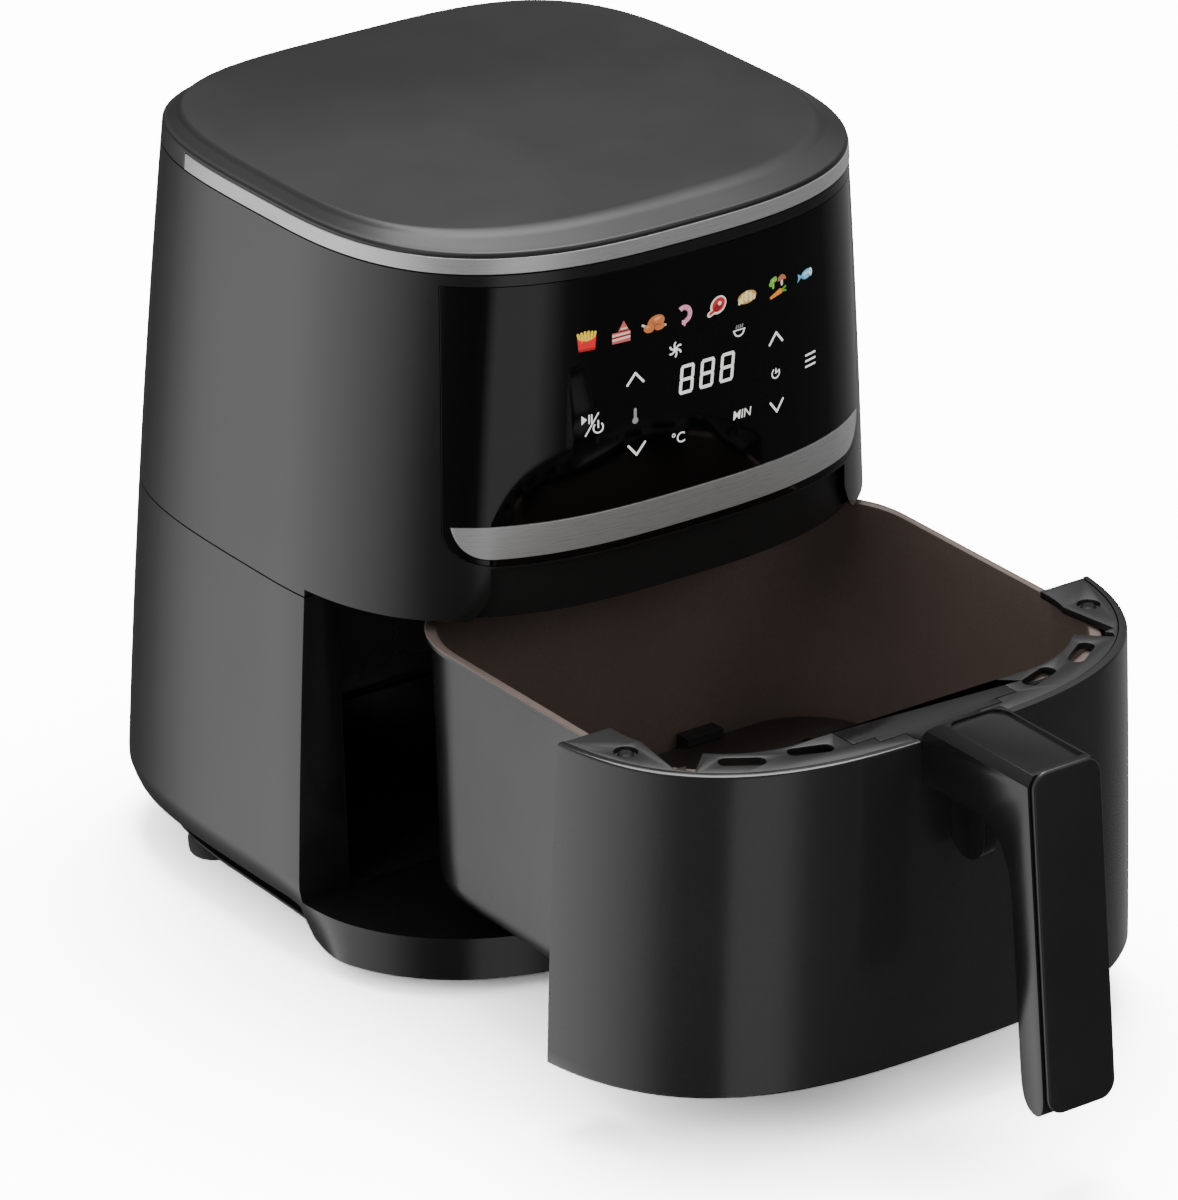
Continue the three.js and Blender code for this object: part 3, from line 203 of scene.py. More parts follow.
def ringed(name, rings):
    """A circle extruded ring by ring and closed, each ring then set on its own outline."""
    count = len(rings[0])
    circle = bpy.ops.mesh.primitive_circle_add
    piece = start_piece(circle, vertices=count, radius=1, fill_type="NOTHING")
    piece.name = name
    bpy.ops.object.mode_set(mode="EDIT")
    bpy.ops.mesh.select_all(action="SELECT")
    bpy.ops.mesh.edge_face_add()
    bpy.ops.mesh.select_all(action="SELECT")
    for _ in rings[1:]:
        bpy.ops.mesh.extrude_region_move(TRANSFORM_OT_translate={"value": (0, 0, 1)})
    bpy.ops.object.mode_set(mode="OBJECT")
    grid = points_of(piece)
    level = np.round(grid[:, 2]).astype(int)
    # the circle's first point is on +Y
    turn = np.arctan2(-grid[:, 0], grid[:, 1]) / (2 * math.pi) * count
    turn = np.round(turn).astype(int) % count
    place_points(piece, np.array(rings)[level, turn])
    face_outward(piece)
    return piece


def face_outward(piece):
    only(piece)
    bpy.ops.object.mode_set(mode="EDIT")
    bpy.ops.mesh.select_all(action="SELECT")
    bpy.ops.mesh.normals_make_consistent(inside=False)
    bpy.ops.object.mode_set(mode="OBJECT")


def block(x0, x1, y0, y1, z0, z1):
    piece = start_piece(bpy.ops.mesh.primitive_cube_add, size=1)
    low, high = np.array([x0, y0, z0]), np.array([x1, y1, z1])
    place_points(piece, (low + high) / 2 + points_of(piece) * (high - low))
    return piece


def prism(points, low, high, axis):
    """A closed outline carried from low to high along an axis; its points are in the other two."""
    first, second = [i for i in range(3) if i != axis]
    rings = []
    for level in (low, high):
        ring = np.zeros((len(points), 3))
        ring[:, first] = [p[0] for p in points]
        ring[:, second] = [p[1] for p in points]
        ring[:, axis] = level
        rings.append(ring)
    return ringed("prism", rings)


def rod(start, end, radius, sides=48):
    """A round bar between two points, as a tool for cutting or a plain pin."""
    start, end = Vector(start), Vector(end)
    cylinder, length = bpy.ops.mesh.primitive_cylinder_add, (end - start).length
    piece = start_piece(cylinder, vertices=sides, radius=radius, depth=length)
    turn = (end - start).to_track_quat("Z", "Y").to_matrix().to_4x4()
    piece.data.transform(Matrix.Translation((start + end) / 2) @ turn)
    return piece


def post(x, y, low, high, radius, sides=48):
    return rod((x, y, low), (x, y, high), radius, sides)


def combine(piece, other, operation):
    apply_modifier(piece, "BOOLEAN", object=other, operation=operation, solver="EXACT")
    bpy.data.objects.remove(other)
    return piece


def cut(piece, *tools):
    for tool in tools:
        combine(piece, tool, "DIFFERENCE")
    return piece


def keep(piece, tool):
    return combine(piece, tool, "INTERSECT")


def add(piece, *others):
    for other in others:
        combine(piece, other, "UNION")
    return piece


def tidy(piece, gap=0.02 * MM):
    only(piece)
    bpy.ops.object.mode_set(mode="EDIT")
    bpy.ops.mesh.select_all(action="SELECT")
    bpy.ops.mesh.remove_doubles(threshold=gap)
    bpy.ops.mesh.dissolve_degenerate(threshold=gap)
    bpy.ops.object.mode_set(mode="OBJECT")
    return piece


def soften(piece, width, segments=2, angle=32, clamp=True):
    tidy(piece)
    return apply_modifier(
        piece,
        "BEVEL",
        width=width,
        segments=segments,
        limit_method="ANGLE",
        angle_limit=math.radians(angle),
        use_clamp_overlap=clamp,
        miter_outer="MITER_ARC",
    )


def shade(piece, angle=32):
    only(piece)
    bpy.ops.object.shade_smooth_by_angle(angle=math.radians(angle))
    return piece


def shade_as_hull(piece, angle=32):
    """Faces that lie along the body's surface take its exact normals, so cuts leave no marks."""
    shade(piece, angle)
    mesh = piece.data
    loops = np.zeros(len(mesh.loops), np.int32)
    mesh.loops.foreach_get("vertex_index", loops)
    corner = np.zeros(len(mesh.loops) * 3, np.float32)
    mesh.corner_normals.foreach_get("vector", corner)
    corner = corner.reshape(-1, 3)
    sizes = np.zeros(len(mesh.polygons), np.int32)
    mesh.polygons.foreach_get("loop_total", sizes)
    flat = np.zeros(len(mesh.polygons) * 3, np.float32)
    mesh.polygons.foreach_get("normal", flat)
    face = np.repeat(flat.reshape(-1, 3), sizes, axis=0)
    ideal = hull_normal(points_of(piece))[loops]
    along = (face * ideal).sum(1)
    ideal = ideal * np.sign(along)[:, None]
    normals = np.where((np.abs(along) > 0.97)[:, None], ideal, corner)
    mesh.normals_split_custom_set(normals.tolist())
    return piece


def finish_piece(piece, name, body, material, replaces=()):
    shift = DRAWER_Y if body in ("drawer", "crisper") else AXIS_Y
    piece.name = name
    piece.data.name = name
    piece.data.transform(Matrix.Translation((0, shift, 0)))
    piece.data.materials.clear()
    piece.data.materials.append(material)
    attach(piece, body)
    if replaces:
        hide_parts(*replaces)
    return piece


def finish_on_hull(piece, round_by, segments, name, material, cad_node):
    """A piece of the body's skin: edges broken, the body's own smoothness, then finished."""
    soften(piece, round_by, segments)
    shade_as_hull(piece)
    return finish_piece(piece, name, "housing", material, [cad_node])


# ---- Outlines ----


def arc(cx, cy, r, start, end, steps=10):
    turns = np.radians(np.linspace(start, end, steps + 1))
    return [(cx + r * math.cos(t), cy + r * math.sin(t)) for t in turns]


def curve_to(p0, p1, p2, steps=10):
    """A quadratic curve from p0, which it leaves out, to p2."""
    found = []
    for t in np.linspace(0, 1, steps + 1)[1:]:
        a, b, c = (1 - t) ** 2, 2 * t * (1 - t), t * t
        found.append((a * p0[0] + b * p1[0] + c * p2[0], a * p0[1] + b * p1[1] + c * p2[1]))
    return found


def rounded(u0, u1, v0, v1, r, steps=8):
    return (
        arc(u1 - r, v0 + r, r, -90, 0, steps)
        + arc(u1 - r, v1 - r, r, 0, 90, steps)
        + arc(u0 + r, v1 - r, r, 90, 180, steps)
        + arc(u0 + r, v0 + r, r, 180, 270, steps)
    )


def round_ring(x0, x1, y0, y1, r, z, steps=15):
    return np.array([(x, y, z) for x, y in rounded(x0, x1, y0, y1, r, steps)])


def at_height(ring, z):
    ring = ring.copy()
    ring[:, 2] = z
    return ring


def hull_solid(name, z0, z1, inset=0.0, skirt=False, step=10 * MM):
    count = max(2, round((z1 - z0) / step) + 1)
    return ringed(name, [outline(z, inset, skirt) for z in np.linspace(z0, z1, count)])


def hull_band(name, z0, z1, out, depth):
    """A band of the body's skin, from out to depth behind the surface."""
    band = hull_solid(name, z0, z1, out)
    return cut(band, hull_solid("core", z0 - MM, z1 + MM, depth))


def front_box(z0, z1, y=0.0):
    return block(-FAR, FAR, -FAR, y, z0, z1)


# ---- Shader groups ----

FLOAT, VECTOR, COLOR = "NodeSocketFloat", "NodeSocketVector", "NodeSocketColor"


def feed(tree, made, inputs):
    """Give a node its inputs: another node's output is linked, anything else is a fixed value."""
    for name, value in inputs.items():
        if isinstance(value, bpy.types.NodeSocket):
            tree.links.new(value, made.inputs[name])
        else:
            made.inputs[name].default_value = value
    return made


def node(tree, kind, inputs=None, **settings):
    made = tree.nodes.new(kind)
    for name, value in settings.items():
        setattr(made, name, value)
    return feed(tree, made, inputs or {})


def object_place(tree):
    return node(tree, "ShaderNodeTexCoord").outputs["Object"]


def noise(tree, place, scale, detail=3.0, roughness=0.55):
    inputs = {"Vector": place, "Scale": scale, "Detail": detail, "Roughness": roughness}
    return node(tree, "ShaderNodeTexNoise", inputs).outputs["Fac"]


def remap(tree, value, low, high, to_low, to_high):
    names = ("Value", "From Min", "From Max", "To Min", "To Max")
    inputs = dict(zip(names, (value, low, high, to_low, to_high)))
    return node(tree, "ShaderNodeMapRange", inputs).outputs["Result"]


def mix(tree, share, first, second, kind="RGBA"):
    inputs = {"Factor": share, "A": first, "B": second}
    return node(tree, "ShaderNodeMix", inputs, data_type=kind).outputs["Result"]


def raised(tree, height, depth):
    inputs = {"Height": height, "Distance": depth, "Strength": 1.0}
    return node(tree, "ShaderNodeBump", inputs).outputs["Normal"]


def new_group(name, inputs, outputs):
    tree = bpy.data.node_groups.new(name, "ShaderNodeTree")
    for title, kind, value in inputs:
        tree.interface.new_socket(title, in_out="INPUT", socket_type=kind).default_value = value
    for title, kind in outputs:
        tree.interface.new_socket(title, in_out="OUTPUT", socket_type=kind)
    return tree, node(tree, "NodeGroupInput").outputs


def make_grain_group():
    """Fine moulded grain or spray texture, as a normal."""
    inputs = [("Scale", FLOAT, 2500.0), ("Depth", FLOAT, 0.00002)]
    tree, given = new_group("surface grain", inputs, [("Normal", VECTOR)])
    grain = noise(tree, object_place(tree), given["Scale"])
    node(tree, "NodeGroupOutput", {"Normal": raised(tree, grain, given["Depth"])})
    return tree


def make_haze_group():
    """Slow changes of roughness and tone, as handling and moulding leave them."""
    tree, given = new_group(
        "handling haze",
        [
            ("Smooth", FLOAT, 0.12),
            ("Hazy", FLOAT, 0.2),
            ("Dark", COLOR, (0.01, 0.01, 0.01, 1)),
            ("Light", COLOR, (0.02, 0.02, 0.02, 1)),
        ],
        [("Roughness", FLOAT), ("Color", COLOR)],
    )
    place = object_place(tree)
    broad = noise(tree, place, 14.0, 4.0)
    specks = noise(tree, place, 900.0, 2.0)
    blend = node(tree, "ShaderNodeMath", {0: broad, 1: specks}, operation="MULTIPLY").outputs[0]
    share = remap(tree, blend, 0.15, 0.4, 0.0, 1.0)
    outputs = {
        "Roughness": remap(tree, broad, 0.35, 0.7, given["Smooth"], given["Hazy"]),
        "Color": mix(tree, share, given["Dark"], given["Light"]),
    }
    node(tree, "NodeGroupOutput", outputs)
    return tree


def make_streak_group():
    """Brushing that runs level round the piece."""
    tree, given = new_group(
        "brushed streaks",
        [("Low", FLOAT, 0.2), ("High", FLOAT, 0.36), ("Depth", FLOAT, 0.00001)],
        [("Roughness", FLOAT), ("Normal", VECTOR), ("Mask", FLOAT)],
    )
    inputs = {"Vector": object_place(tree), "Scale": (60, 60, 5200)}
    stretched = node(tree, "ShaderNodeMapping", inputs).outputs["Vector"]
    lines = noise(tree, stretched, 1.0, 4.0, 0.7)
    outputs = {
        "Roughness": remap(tree, lines, 0.3, 0.7, given["Low"], given["High"]),
        "Normal": raised(tree, lines, given["Depth"]),
        "Mask": lines,
    }
    node(tree, "NodeGroupOutput", outputs)
    return tree


GRAIN = make_grain_group()
HAZE = make_haze_group()
STREAKS = make_streak_group()


# ---- Materials ----


def start_material(name, color, metallic=0.0, roughness=0.5):
    material = bpy.data.materials.new(name)
    material.use_nodes = True
    tree = material.node_tree
    shader = next(n for n in tree.nodes if n.type == "BSDF_PRINCIPLED")
    feed(tree, shader, {"Base Color": (*color, 1), "Metallic": metallic, "Roughness": roughness})
    return material, tree, shader


def grouped(tree, group, **inputs):
    return node(tree, "ShaderNodeGroup", inputs, node_tree=group).outputs


def moulded(name, dark, light, smooth, hazy, grain_scale, grain_depth):
    """A moulded or sprayed plastic, rubber or coating."""
    material, tree, shader = start_material(name, dark)
    haze = grouped(tree, HAZE, Smooth=smooth, Hazy=hazy, Dark=(*dark, 1), Light=(*light, 1))
    grain = grouped(tree, GRAIN, Scale=grain_scale, Depth=grain_depth)
    feed(tree, shader, {"Base Color": haze["Color"], "Roughness": haze["Roughness"]})
    feed(tree, shader, {"Normal": grain["Normal"]})
    return material


def brushed(name, dark, light, low, high, depth=0.00001, metallic=1.0):
    """Brushed or rolled metal, or a plated plastic that looks like it."""
    material, tree, shader = start_material(name, light, metallic)
    streaks = grouped(tree, STREAKS, Low=low, High=high, Depth=depth)
    tone = mix(tree, streaks["Mask"], (*dark, 1), (*light, 1))
    feed(tree, shader, {"Base Color": tone, "Roughness": streaks["Roughness"]})
    feed(tree, shader, {"Normal": streaks["Normal"]})
    return material


def printed(name, color, glow):
    """Ink behind the panel, lit from the back and a little uneven."""
    material, tree, shader = start_material(name, color, roughness=0.4)
    mottled = noise(tree, object_place(tree), 700, 2.0)
    tone = mix(tree, mottled, (*[0.88 * v for v in color], 1), (*color, 1))
    feed(tree, shader, {"Base Color": tone, "Emission Color": tone, "Emission Strength": glow})
    return material


def grey(value):
    return (value, value, value)


body_gloss = moulded("body gloss plastic", grey(0.011), grey(0.0135), 0.17, 0.22, 900, 0.000004)
# painted light: the drawer's plastic is the body's black gloss plastic with a lighter base, so that
# the drawer front reads lighter
drawer_gloss_painted_light = moulded("drawer gloss plastic, painted lighter", grey(0.019), grey(0.022), 0.13, 0.17, 900, 0.000003)
handle_gloss = moulded("handle gloss plastic", grey(0.009), grey(0.012), 0.16, 0.24, 1200, 0.000004)
cover_satin = moulded("grip cover satin", grey(0.011), grey(0.014), 0.3, 0.36, 3000, 0.00001)
lid_satin = moulded("lid satin plastic", grey(0.013), grey(0.015), 0.36, 0.42, 3200, 0.000012)
panel_gloss = moulded("panel gloss", grey(0.0016), grey(0.002), 0.035, 0.06, 500, 0.000001)
ring_matte = moulded("ring matte plastic", grey(0.006), grey(0.009), 0.42, 0.52, 2600, 0.00002)
liner_dark = moulded("bay liner plastic", grey(0.02), grey(0.026), 0.24, 0.34, 1800, 0.00001)
under_matte = moulded("underside plastic", grey(0.012), grey(0.018), 0.5, 0.62, 2400, 0.00003)
inner_plastic = moulded("inner moulding", grey(0.02), grey(0.03), 0.5, 0.65, 2400, 0.00002)
# painted fill light: the tub's coating is made far lighter than the same coating on the plate, so
# that the shaded inside of the tub reads lighter
basket_coat_painted_fill = moulded(
    "non-stick coating, painted fill light", (0.15, 0.112, 0.097), (0.18, 0.137, 0.118), 0.34, 0.46, 4200, 0.00002
)
basket_skin = moulded("tub outside", grey(0.012), grey(0.017), 0.2, 0.3, 2200, 0.00001)
plate_coat = moulded(
    "plate coating", (0.03, 0.024, 0.021), (0.042, 0.034, 0.03), 0.36, 0.5, 4200, 0.00002
)
silicone = moulded("silicone", grey(0.012), grey(0.02), 0.6, 0.75, 1600, 0.00003)
rubber = moulded("foot rubber", grey(0.012), grey(0.022), 0.65, 0.85, 2000, 0.00004)
ceramic = moulded("fired ceramic", (0.62, 0.58, 0.5), (0.74, 0.7, 0.62), 0.5, 0.7, 2600, 0.00004)
silver = brushed("silver trim", grey(0.5), grey(0.56), 0.26, 0.32, 0.0000004, 0.5)
plated = brushed("plated sheet", grey(0.38), grey(0.58), 0.22, 0.42)
screw_steel = brushed("screw steel", grey(0.3), grey(0.5), 0.25, 0.45)
black_screw = brushed("blackened screw", grey(0.02), grey(0.035), 0.4, 0.55)
motor_steel = brushed("motor steel", grey(0.28), grey(0.46), 0.3, 0.5)
fan_metal = brushed("fan sheet", grey(0.5), grey(0.7), 0.25, 0.4)
sheath = brushed("element sheath", (0.1, 0.085, 0.07), (0.2, 0.175, 0.15), 0.4, 0.6, 0.00002)


def make_board_material():
    """Lacquered laminate with copper tracks showing through."""
    material, tree, shader = start_material("circuit board", (0.02, 0.1, 0.04), roughness=0.35)
    inputs = {"Vector": object_place(tree), "Rotation": (math.pi / 2, 0, math.pi / 2)}
    tracks = {
        "Vector": node(tree, "ShaderNodeMapping", inputs).outputs["Vector"],
        "Scale": 130,
        "Color1": (0.012, 0.085, 0.03, 1),
        "Color2": (0.016, 0.11, 0.04, 1),
        "Mortar": (0.04, 0.2, 0.07, 1),
        "Mortar Size": 0.03,
    }
    grain = grouped(tree, GRAIN, Scale=1400, Depth=0.00001)
    color = node(tree, "ShaderNodeTexBrick", tracks).outputs["Color"]
    feed(tree, shader, {"Base Color": color, "Normal": grain["Normal"]})
    return material


board_green = make_board_material()


# ---- Body ----


def bay_half(z):
    return HALF - JAMB_WIDTH + BAY_DRAFT * (z - SEAM)


def make_lower_body():
    top, chin_back = SEAM - SEAM_GAP / 2, JAMB_Y + WALL
    shell = hull_solid("lower", BODY_BOTTOM, top, 0, True, SKIRT_STEP)
    back_room = hull_solid("room", BODY_BOTTOM - MM, top + MM, WALL)
    keep(back_room, block(-FAR, FAR, chin_back, FAR, 0, FAR))
    chin_room = hull_solid("room", BODY_BOTTOM - MM, DECK - WALL, WALL, True, SKIRT_STEP)
    keep(chin_room, block(-FAR, FAR, -FAR, chin_back + 0.01 * MM, 0, FAR))
    low, wide = bay_half(DECK), bay_half(FAR)
    mouth = [(-low, DECK), (low, DECK), (wide, FAR), (-wide, FAR)]
    mouth = prism(mouth, JAMB_Y - MM, chin_back + MM, 1)
    porch = block(-FAR, FAR, -FAR, JAMB_Y, DECK, FAR)
    inlet = rod((GLAND_X, 0.1, GLAND_Z), (GLAND_X, 0.2, GLAND_Z), GLAND_HOLE)
    cut(shell, back_room, chin_room, mouth, porch, inlet)
    return finish_on_hull(
        shell, 0.7 * MM, 3, "lower_body", body_gloss, "lower_housing"
    )


def panel_half(z):
    share = (z - PANEL_LOW) / (PANEL_HIGH - PANEL_LOW)
    return half_width(z) - PANEL_IN_LOW - (PANEL_IN_HIGH - PANEL_IN_LOW) * share


def panel_face(grow=0.0):
    low, high, wide = PANEL_LOW - grow, PANEL_HIGH + grow, panel_half(PANEL_LOW) + grow
    r = PANEL_CORNER + grow
    left = [(-panel_half(high) - grow, high), (-wide, low + r)]
    left += curve_to((-wide, low + r), (-wide + 0.14 * r, low + 0.1 * r), (-wide + 1.3 * r, low))
    return left + [(-x, z) for x, z in reversed(left)]


def strip_face(grow=0.0):
    half = panel_half(STRIP_HIGH) - 2.4 * MM + grow
    low, high, r = STRIP_LOW - grow, STRIP_HIGH + grow, 10 * MM
    left = [(-half, high)]
    left += curve_to((-half, high), (-half + 0.2 * r, low), (-half + 1.35 * r, low), 14)
    return left + [(-x, z) for x, z in reversed(left)]


def arch_face(grow=0.0):
    half = half_width(PANEL_LOW) - 42.5 * MM + grow
    top = PANEL_LOW - 1.2 * MM + grow
    turn, low, flare = top - 9.5 * MM, BROW - MM - grow, 8.5 * MM
    left = [(-half, top), (-half, turn)]
    left += curve_to((-half, turn), (-half - 0.35 * flare, BROW + 3 * MM), (-half - flare, low))
    return left + [(-x, z) for x, z in reversed(left)]


def front_cut(face, back=-20 * MM):
    """A face outline carried through the front of the body."""
    return prism(face, -FAR, back, 1)


def make_upper_body():
    shell = hull_band("upper", SEAM + SEAM_GAP / 2, LID_SEAM - 0.4 * MM, 0, WALL)
    outlet_half, outlet_low, outlet_high = GRILLE_HALF + FIT, GRILLE_LOW - FIT, GRILLE_HIGH + FIT
    cut(
        shell,
        front_box(0, BROW, JAMB_Y),
        front_cut(panel_face(FIT)),
        front_cut(arch_face(), -40 * MM),
        block(-outlet_half, outlet_half, 60 * MM, FAR, outlet_low, outlet_high),
    )
    return finish_on_hull(
        shell, 0.5 * MM, 3, "upper_body", body_gloss, "upper_housing"
    )


def make_notch_plate():
    plate = hull_band("notch", BROW, PANEL_LOW - 2 * MM, NOTCH_OUT, NOTCH_DEEP)
    keep(plate, front_cut(arch_face(4 * MM), -40 * MM))
    return finish_on_hull(
        plate, 0.3 * MM, 2, "notch_plate", ring_matte, "arch_plate"
    )


def strip_band(name, out, depth):
    return hull_band(name, STRIP_LOW - 4 * MM, STRIP_HIGH + 4 * MM, out, depth)


def make_panel():
    plate = hull_band("panel", PANEL_LOW - 2 * MM, PANEL_HIGH + 2 * MM, 0, PANEL_THICK)
    keep(plate, front_cut(panel_face()))
    pocket = strip_band("pocket", -2 * MM, STRIP_DEPTH + FIT)
    cut(plate, keep(pocket, front_cut(strip_face(FIT))))
    return finish_on_hull(
        plate, 0.25 * MM, 2, "touch_panel", panel_gloss, "control_panel"
    )


def make_strip():
    band = keep(strip_band("strip", -TRIM_OUT, STRIP_DEPTH), front_cut(strip_face()))
    return finish_on_hull(band, 0.35 * MM, 3, "panel_strip", silver, "lower_trim")


def lid_ring(z, side, front, back):
    """The lid's edge outline moved in by three amounts."""
    ring = at_height(outline(LID_EDGE), z)
    depth = np.where(ring[:, 1] < 0, front_depth(LID_EDGE), back_depth(LID_EDGE))
    inset = np.where(ring[:, 1] < 0, front, back)
    ring[:, 0] *= (half_width(LID_EDGE) - side) / half_width(LID_EDGE)
    ring[:, 1] *= (depth - inset) / depth
    return ring


def make_lid():
    rings = [outline(z) for z in np.linspace(LID_SEAM, LID_EDGE, 4)]
    for turn in np.radians((22, 45, 68, 84)):
        away = LID_ROUND * (1 - math.cos(turn))
        rings.append(lid_ring(LID_EDGE + LID_ROUND * math.sin(turn), away, away, away))
    foot, bend = LID_EDGE + LID_ROUND, 1 - SHOULDER_STRAIGHT
    for share in np.linspace(0.06, 1.0, 16):
        # a straight shoulder that eases into the flat top
        rise = share if share < SHOULDER_STRAIGHT else 1 - bend * ((1 - share) / bend) ** 1.6
        insets = [LID_ROUND + share * (end - LID_ROUND) for end in SHOULDER_IN]
        rings.append(lid_ring(foot + (LID_TOP - foot) * rise, *insets))
    lid = ringed("lid", rings)
    groove = hull_band("groove", LID_SEAM - MM, LID_SEAM + BAND_HIGH + FIT, -MM, BAND_DEPTH + FIT)
    keep(groove, front_box(0, FAR, BAND_END + FIT))
    room = [outline(LID_SEAM - MM, WALL), outline(LID_EDGE - 2 * MM, WALL)]
    room = ringed("room", room + [lid_ring(LID_TOP - 2.5 * MM, 12 * MM, 22 * MM, 9 * MM)])
    cut(lid, groove, room)
    soften(lid, 0.25 * MM, 2, 40)
    shade(lid, 30)
    return finish_piece(lid, "lid", "housing", lid_satin, ["top_lid"])


def make_band():
    band = hull_band("band", LID_SEAM + FIT, LID_SEAM + BAND_HIGH, -TRIM_OUT, BAND_DEPTH)
    keep(band, front_box(0, FAR, BAND_END))
    return finish_on_hull(band, 0.4 * MM, 3, "lid_band", silver, "top_trim")


def make_grille():
    tile = hull_band("grille", GRILLE_LOW - 2 * MM, GRILLE_HIGH + 2 * MM, 0.4 * MM, 3.4 * MM)
    keep(tile, block(-GRILLE_HALF, GRILLE_HALF, 60 * MM, FAR, GRILLE_LOW, GRILLE_HIGH))
    pitch = (GRILLE_HIGH - GRILLE_LOW - 6 * MM) / GRILLE_SLATS
    half = GRILLE_HALF - 5 * MM
    slots = []
    for i in range(GRILLE_SLATS):
        z = GRILLE_LOW + 4 * MM + i * pitch
        slots.append(prism(rounded(-half, half, z, z + 0.55 * pitch, 1.4 * MM, 6), 60 * MM, FAR, 1))
    cut(tile, *slots)
    return finish_on_hull(
        tile, 0.25 * MM, 2, "outlet_grille", under_matte, "rear_grille"
    )


def make_liner():
    start = JAMB_Y + WALL + FIT
    early = start - 2 * BAY_CORNER

    def ring(z, grow, front_end):
        half = bay_half(z) + grow
        return round_ring(-half, half, front_end, BAY_BACK + grow, BAY_CORNER, z)

    shell = ringed("liner", [ring(z, LINER, early) for z in (DECK - LINER, LINER_TOP)])
    room = ringed("room", [ring(z, 0, early - MM) for z in (DECK, LINER_TOP + MM)])
    cut(shell, room, front_box(0, FAR, start))
    pad_low, pad_back = DECK - 0.5 * MM, BAY_BACK - 6 * MM
    pad = block(-PAD_HALF, PAD_HALF, start, pad_back, pad_low, DECK + PAD_RISE)
    wall_x = bay_half(RAIL_LOW)
    rails, posts, pilots = [], [], []
    for side in (-1, 1):
        x0, x1 = sorted((side * (wall_x - 0.5 * MM), side * (wall_x + MM)))
        rails.append(block(x0, x1, start + 8 * MM, BAY_BACK - BAY_CORNER, RAIL_LOW, RAIL_HIGH))
        for y in POST_Y:
            x = side * POST_X
            posts.append(post(x, y, POST_LOW, POST_HIGH, 4.5 * MM))
            pilots.append(post(x, y, POST_LOW - MM, 22 * MM, PILOT, 24))
    y = BAY_BACK + LINER / 2
    switch_ends = [(SWITCH_X, y + away, SWITCH_Z) for away in (-6 * MM, 4 * MM)]
    pilots.append(rod(*switch_ends, SWITCH_HOLE, 32))
    add(shell, pad, *rails, *posts)
    cut(shell, *pilots)
    soften(shell, 0.35 * MM, 2)
    shade(shell)
    return finish_piece(shell, "bay_tray", "housing", liner_dark, ["bay_liner"])


# ---- Drawer ----


def basket_ring(z, grow=0.0, lift=None):
    half = bay_half(z) - BASKET_SLIDE + grow
    share = max(0.0, BASKET_BOTTOM + FLOOR_ROUND - z) / FLOOR_ROUND
    inset = FLOOR_ROUND * (1 - math.sqrt(max(0.0, 1 - share**2)))
    return round_ring(
        -half + inset,
        half - inset,
        BASKET_FRONT - grow + inset,
        BASKET_BACK + grow - inset,
        max(BASKET_CORNER - inset, 8 * MM),
        z if lift is None else lift,
    )


def make_basket():
    rise = BASKET_BOTTOM + FLOOR_ROUND * (1 - np.cos(np.radians(np.linspace(0, 90, 10))))
    wall_grow, lip_low = BASKET_WALL - LIP, BASKET_TOP - 3 * MM
    side = [(z, wall_grow) for z in (*rise, *np.linspace(rise[-1], lip_low, 8)[1:])]
    side += [(lip_low, -0.5 * MM), (lip_low + 0.5 * MM, 0), (BASKET_TOP - 0.9 * MM, 0)]
    side += [(BASKET_TOP - 0.25 * MM, -0.3 * MM), (BASKET_TOP, -0.9 * MM)]
    side += [(BASKET_TOP, 0.7 * MM - LIP), (BASKET_TOP - 0.4 * MM, 0.1 * MM - LIP)]
    side += [(z, -LIP) for z in np.linspace(BASKET_TOP - 1.2 * MM, rise[-1] + 2 * MM, 8)]
    rings = [basket_ring(z, grow) for z, grow in side]
    rings += [basket_ring(z, -LIP, z + BASKET_WALL) for z in rise[::-1]]
    tub = ringed("basket", rings)
    lugs, holes = [], []
    for x in (-SCREW_X, SCREW_X):
        lugs.append(post(x, SCREW_Y, BASKET_TOP - 1.6 * MM, BASKET_TOP, LUG))
        holes.append(post(x, SCREW_Y, BASKET_TOP - 9 * MM, BASKET_TOP + MM, PILOT, 24))
    for lug in lugs:
        cut(lug, ringed("inside", [basket_ring(z, -LIP) for z in (0.1, BASKET_TOP + MM)]))
    add(tub, *lugs)
    cut(tub, *holes)
    tub.data.validate()
    shade(tub, 40)
    finish_piece(tub, "tub", "drawer", basket_coat_painted_fill, ["basket"])
    tub.data.materials.append(basket_skin)
    middle = Vector((0, DRAWER_Y + (BASKET_FRONT + BASKET_BACK) / 2, 0))
    for face in tub.data.polygons:
        outward = face.normal.dot((face.center - middle).normalized()) > 0
        low = face.center.z < BASKET_TOP - 1.1 * MM
        if low and (outward or face.normal.z < -0.3):
            face.material_index = 1
    return tub


def root_shape(grow=0.0):
    back = -FRONT_DEPTH - FRONT_TAPER * drop(BROW) + RING_FRONT_IN - 0.5 * MM
    right = [
        (39 * MM + grow, back + grow),
        (39 * MM + grow, back - 12 * MM - grow),
        (29 * MM + grow, back - 12 * MM - grow),
        (29 * MM + grow, back - 16 * MM - grow),
        (GRIP_HALF + grow, back - 16 * MM - grow),
        (GRIP_HALF + grow, FACE_Y - 2 * MM),
    ]
    return [(-x, y) for x, y in reversed(right)] + right


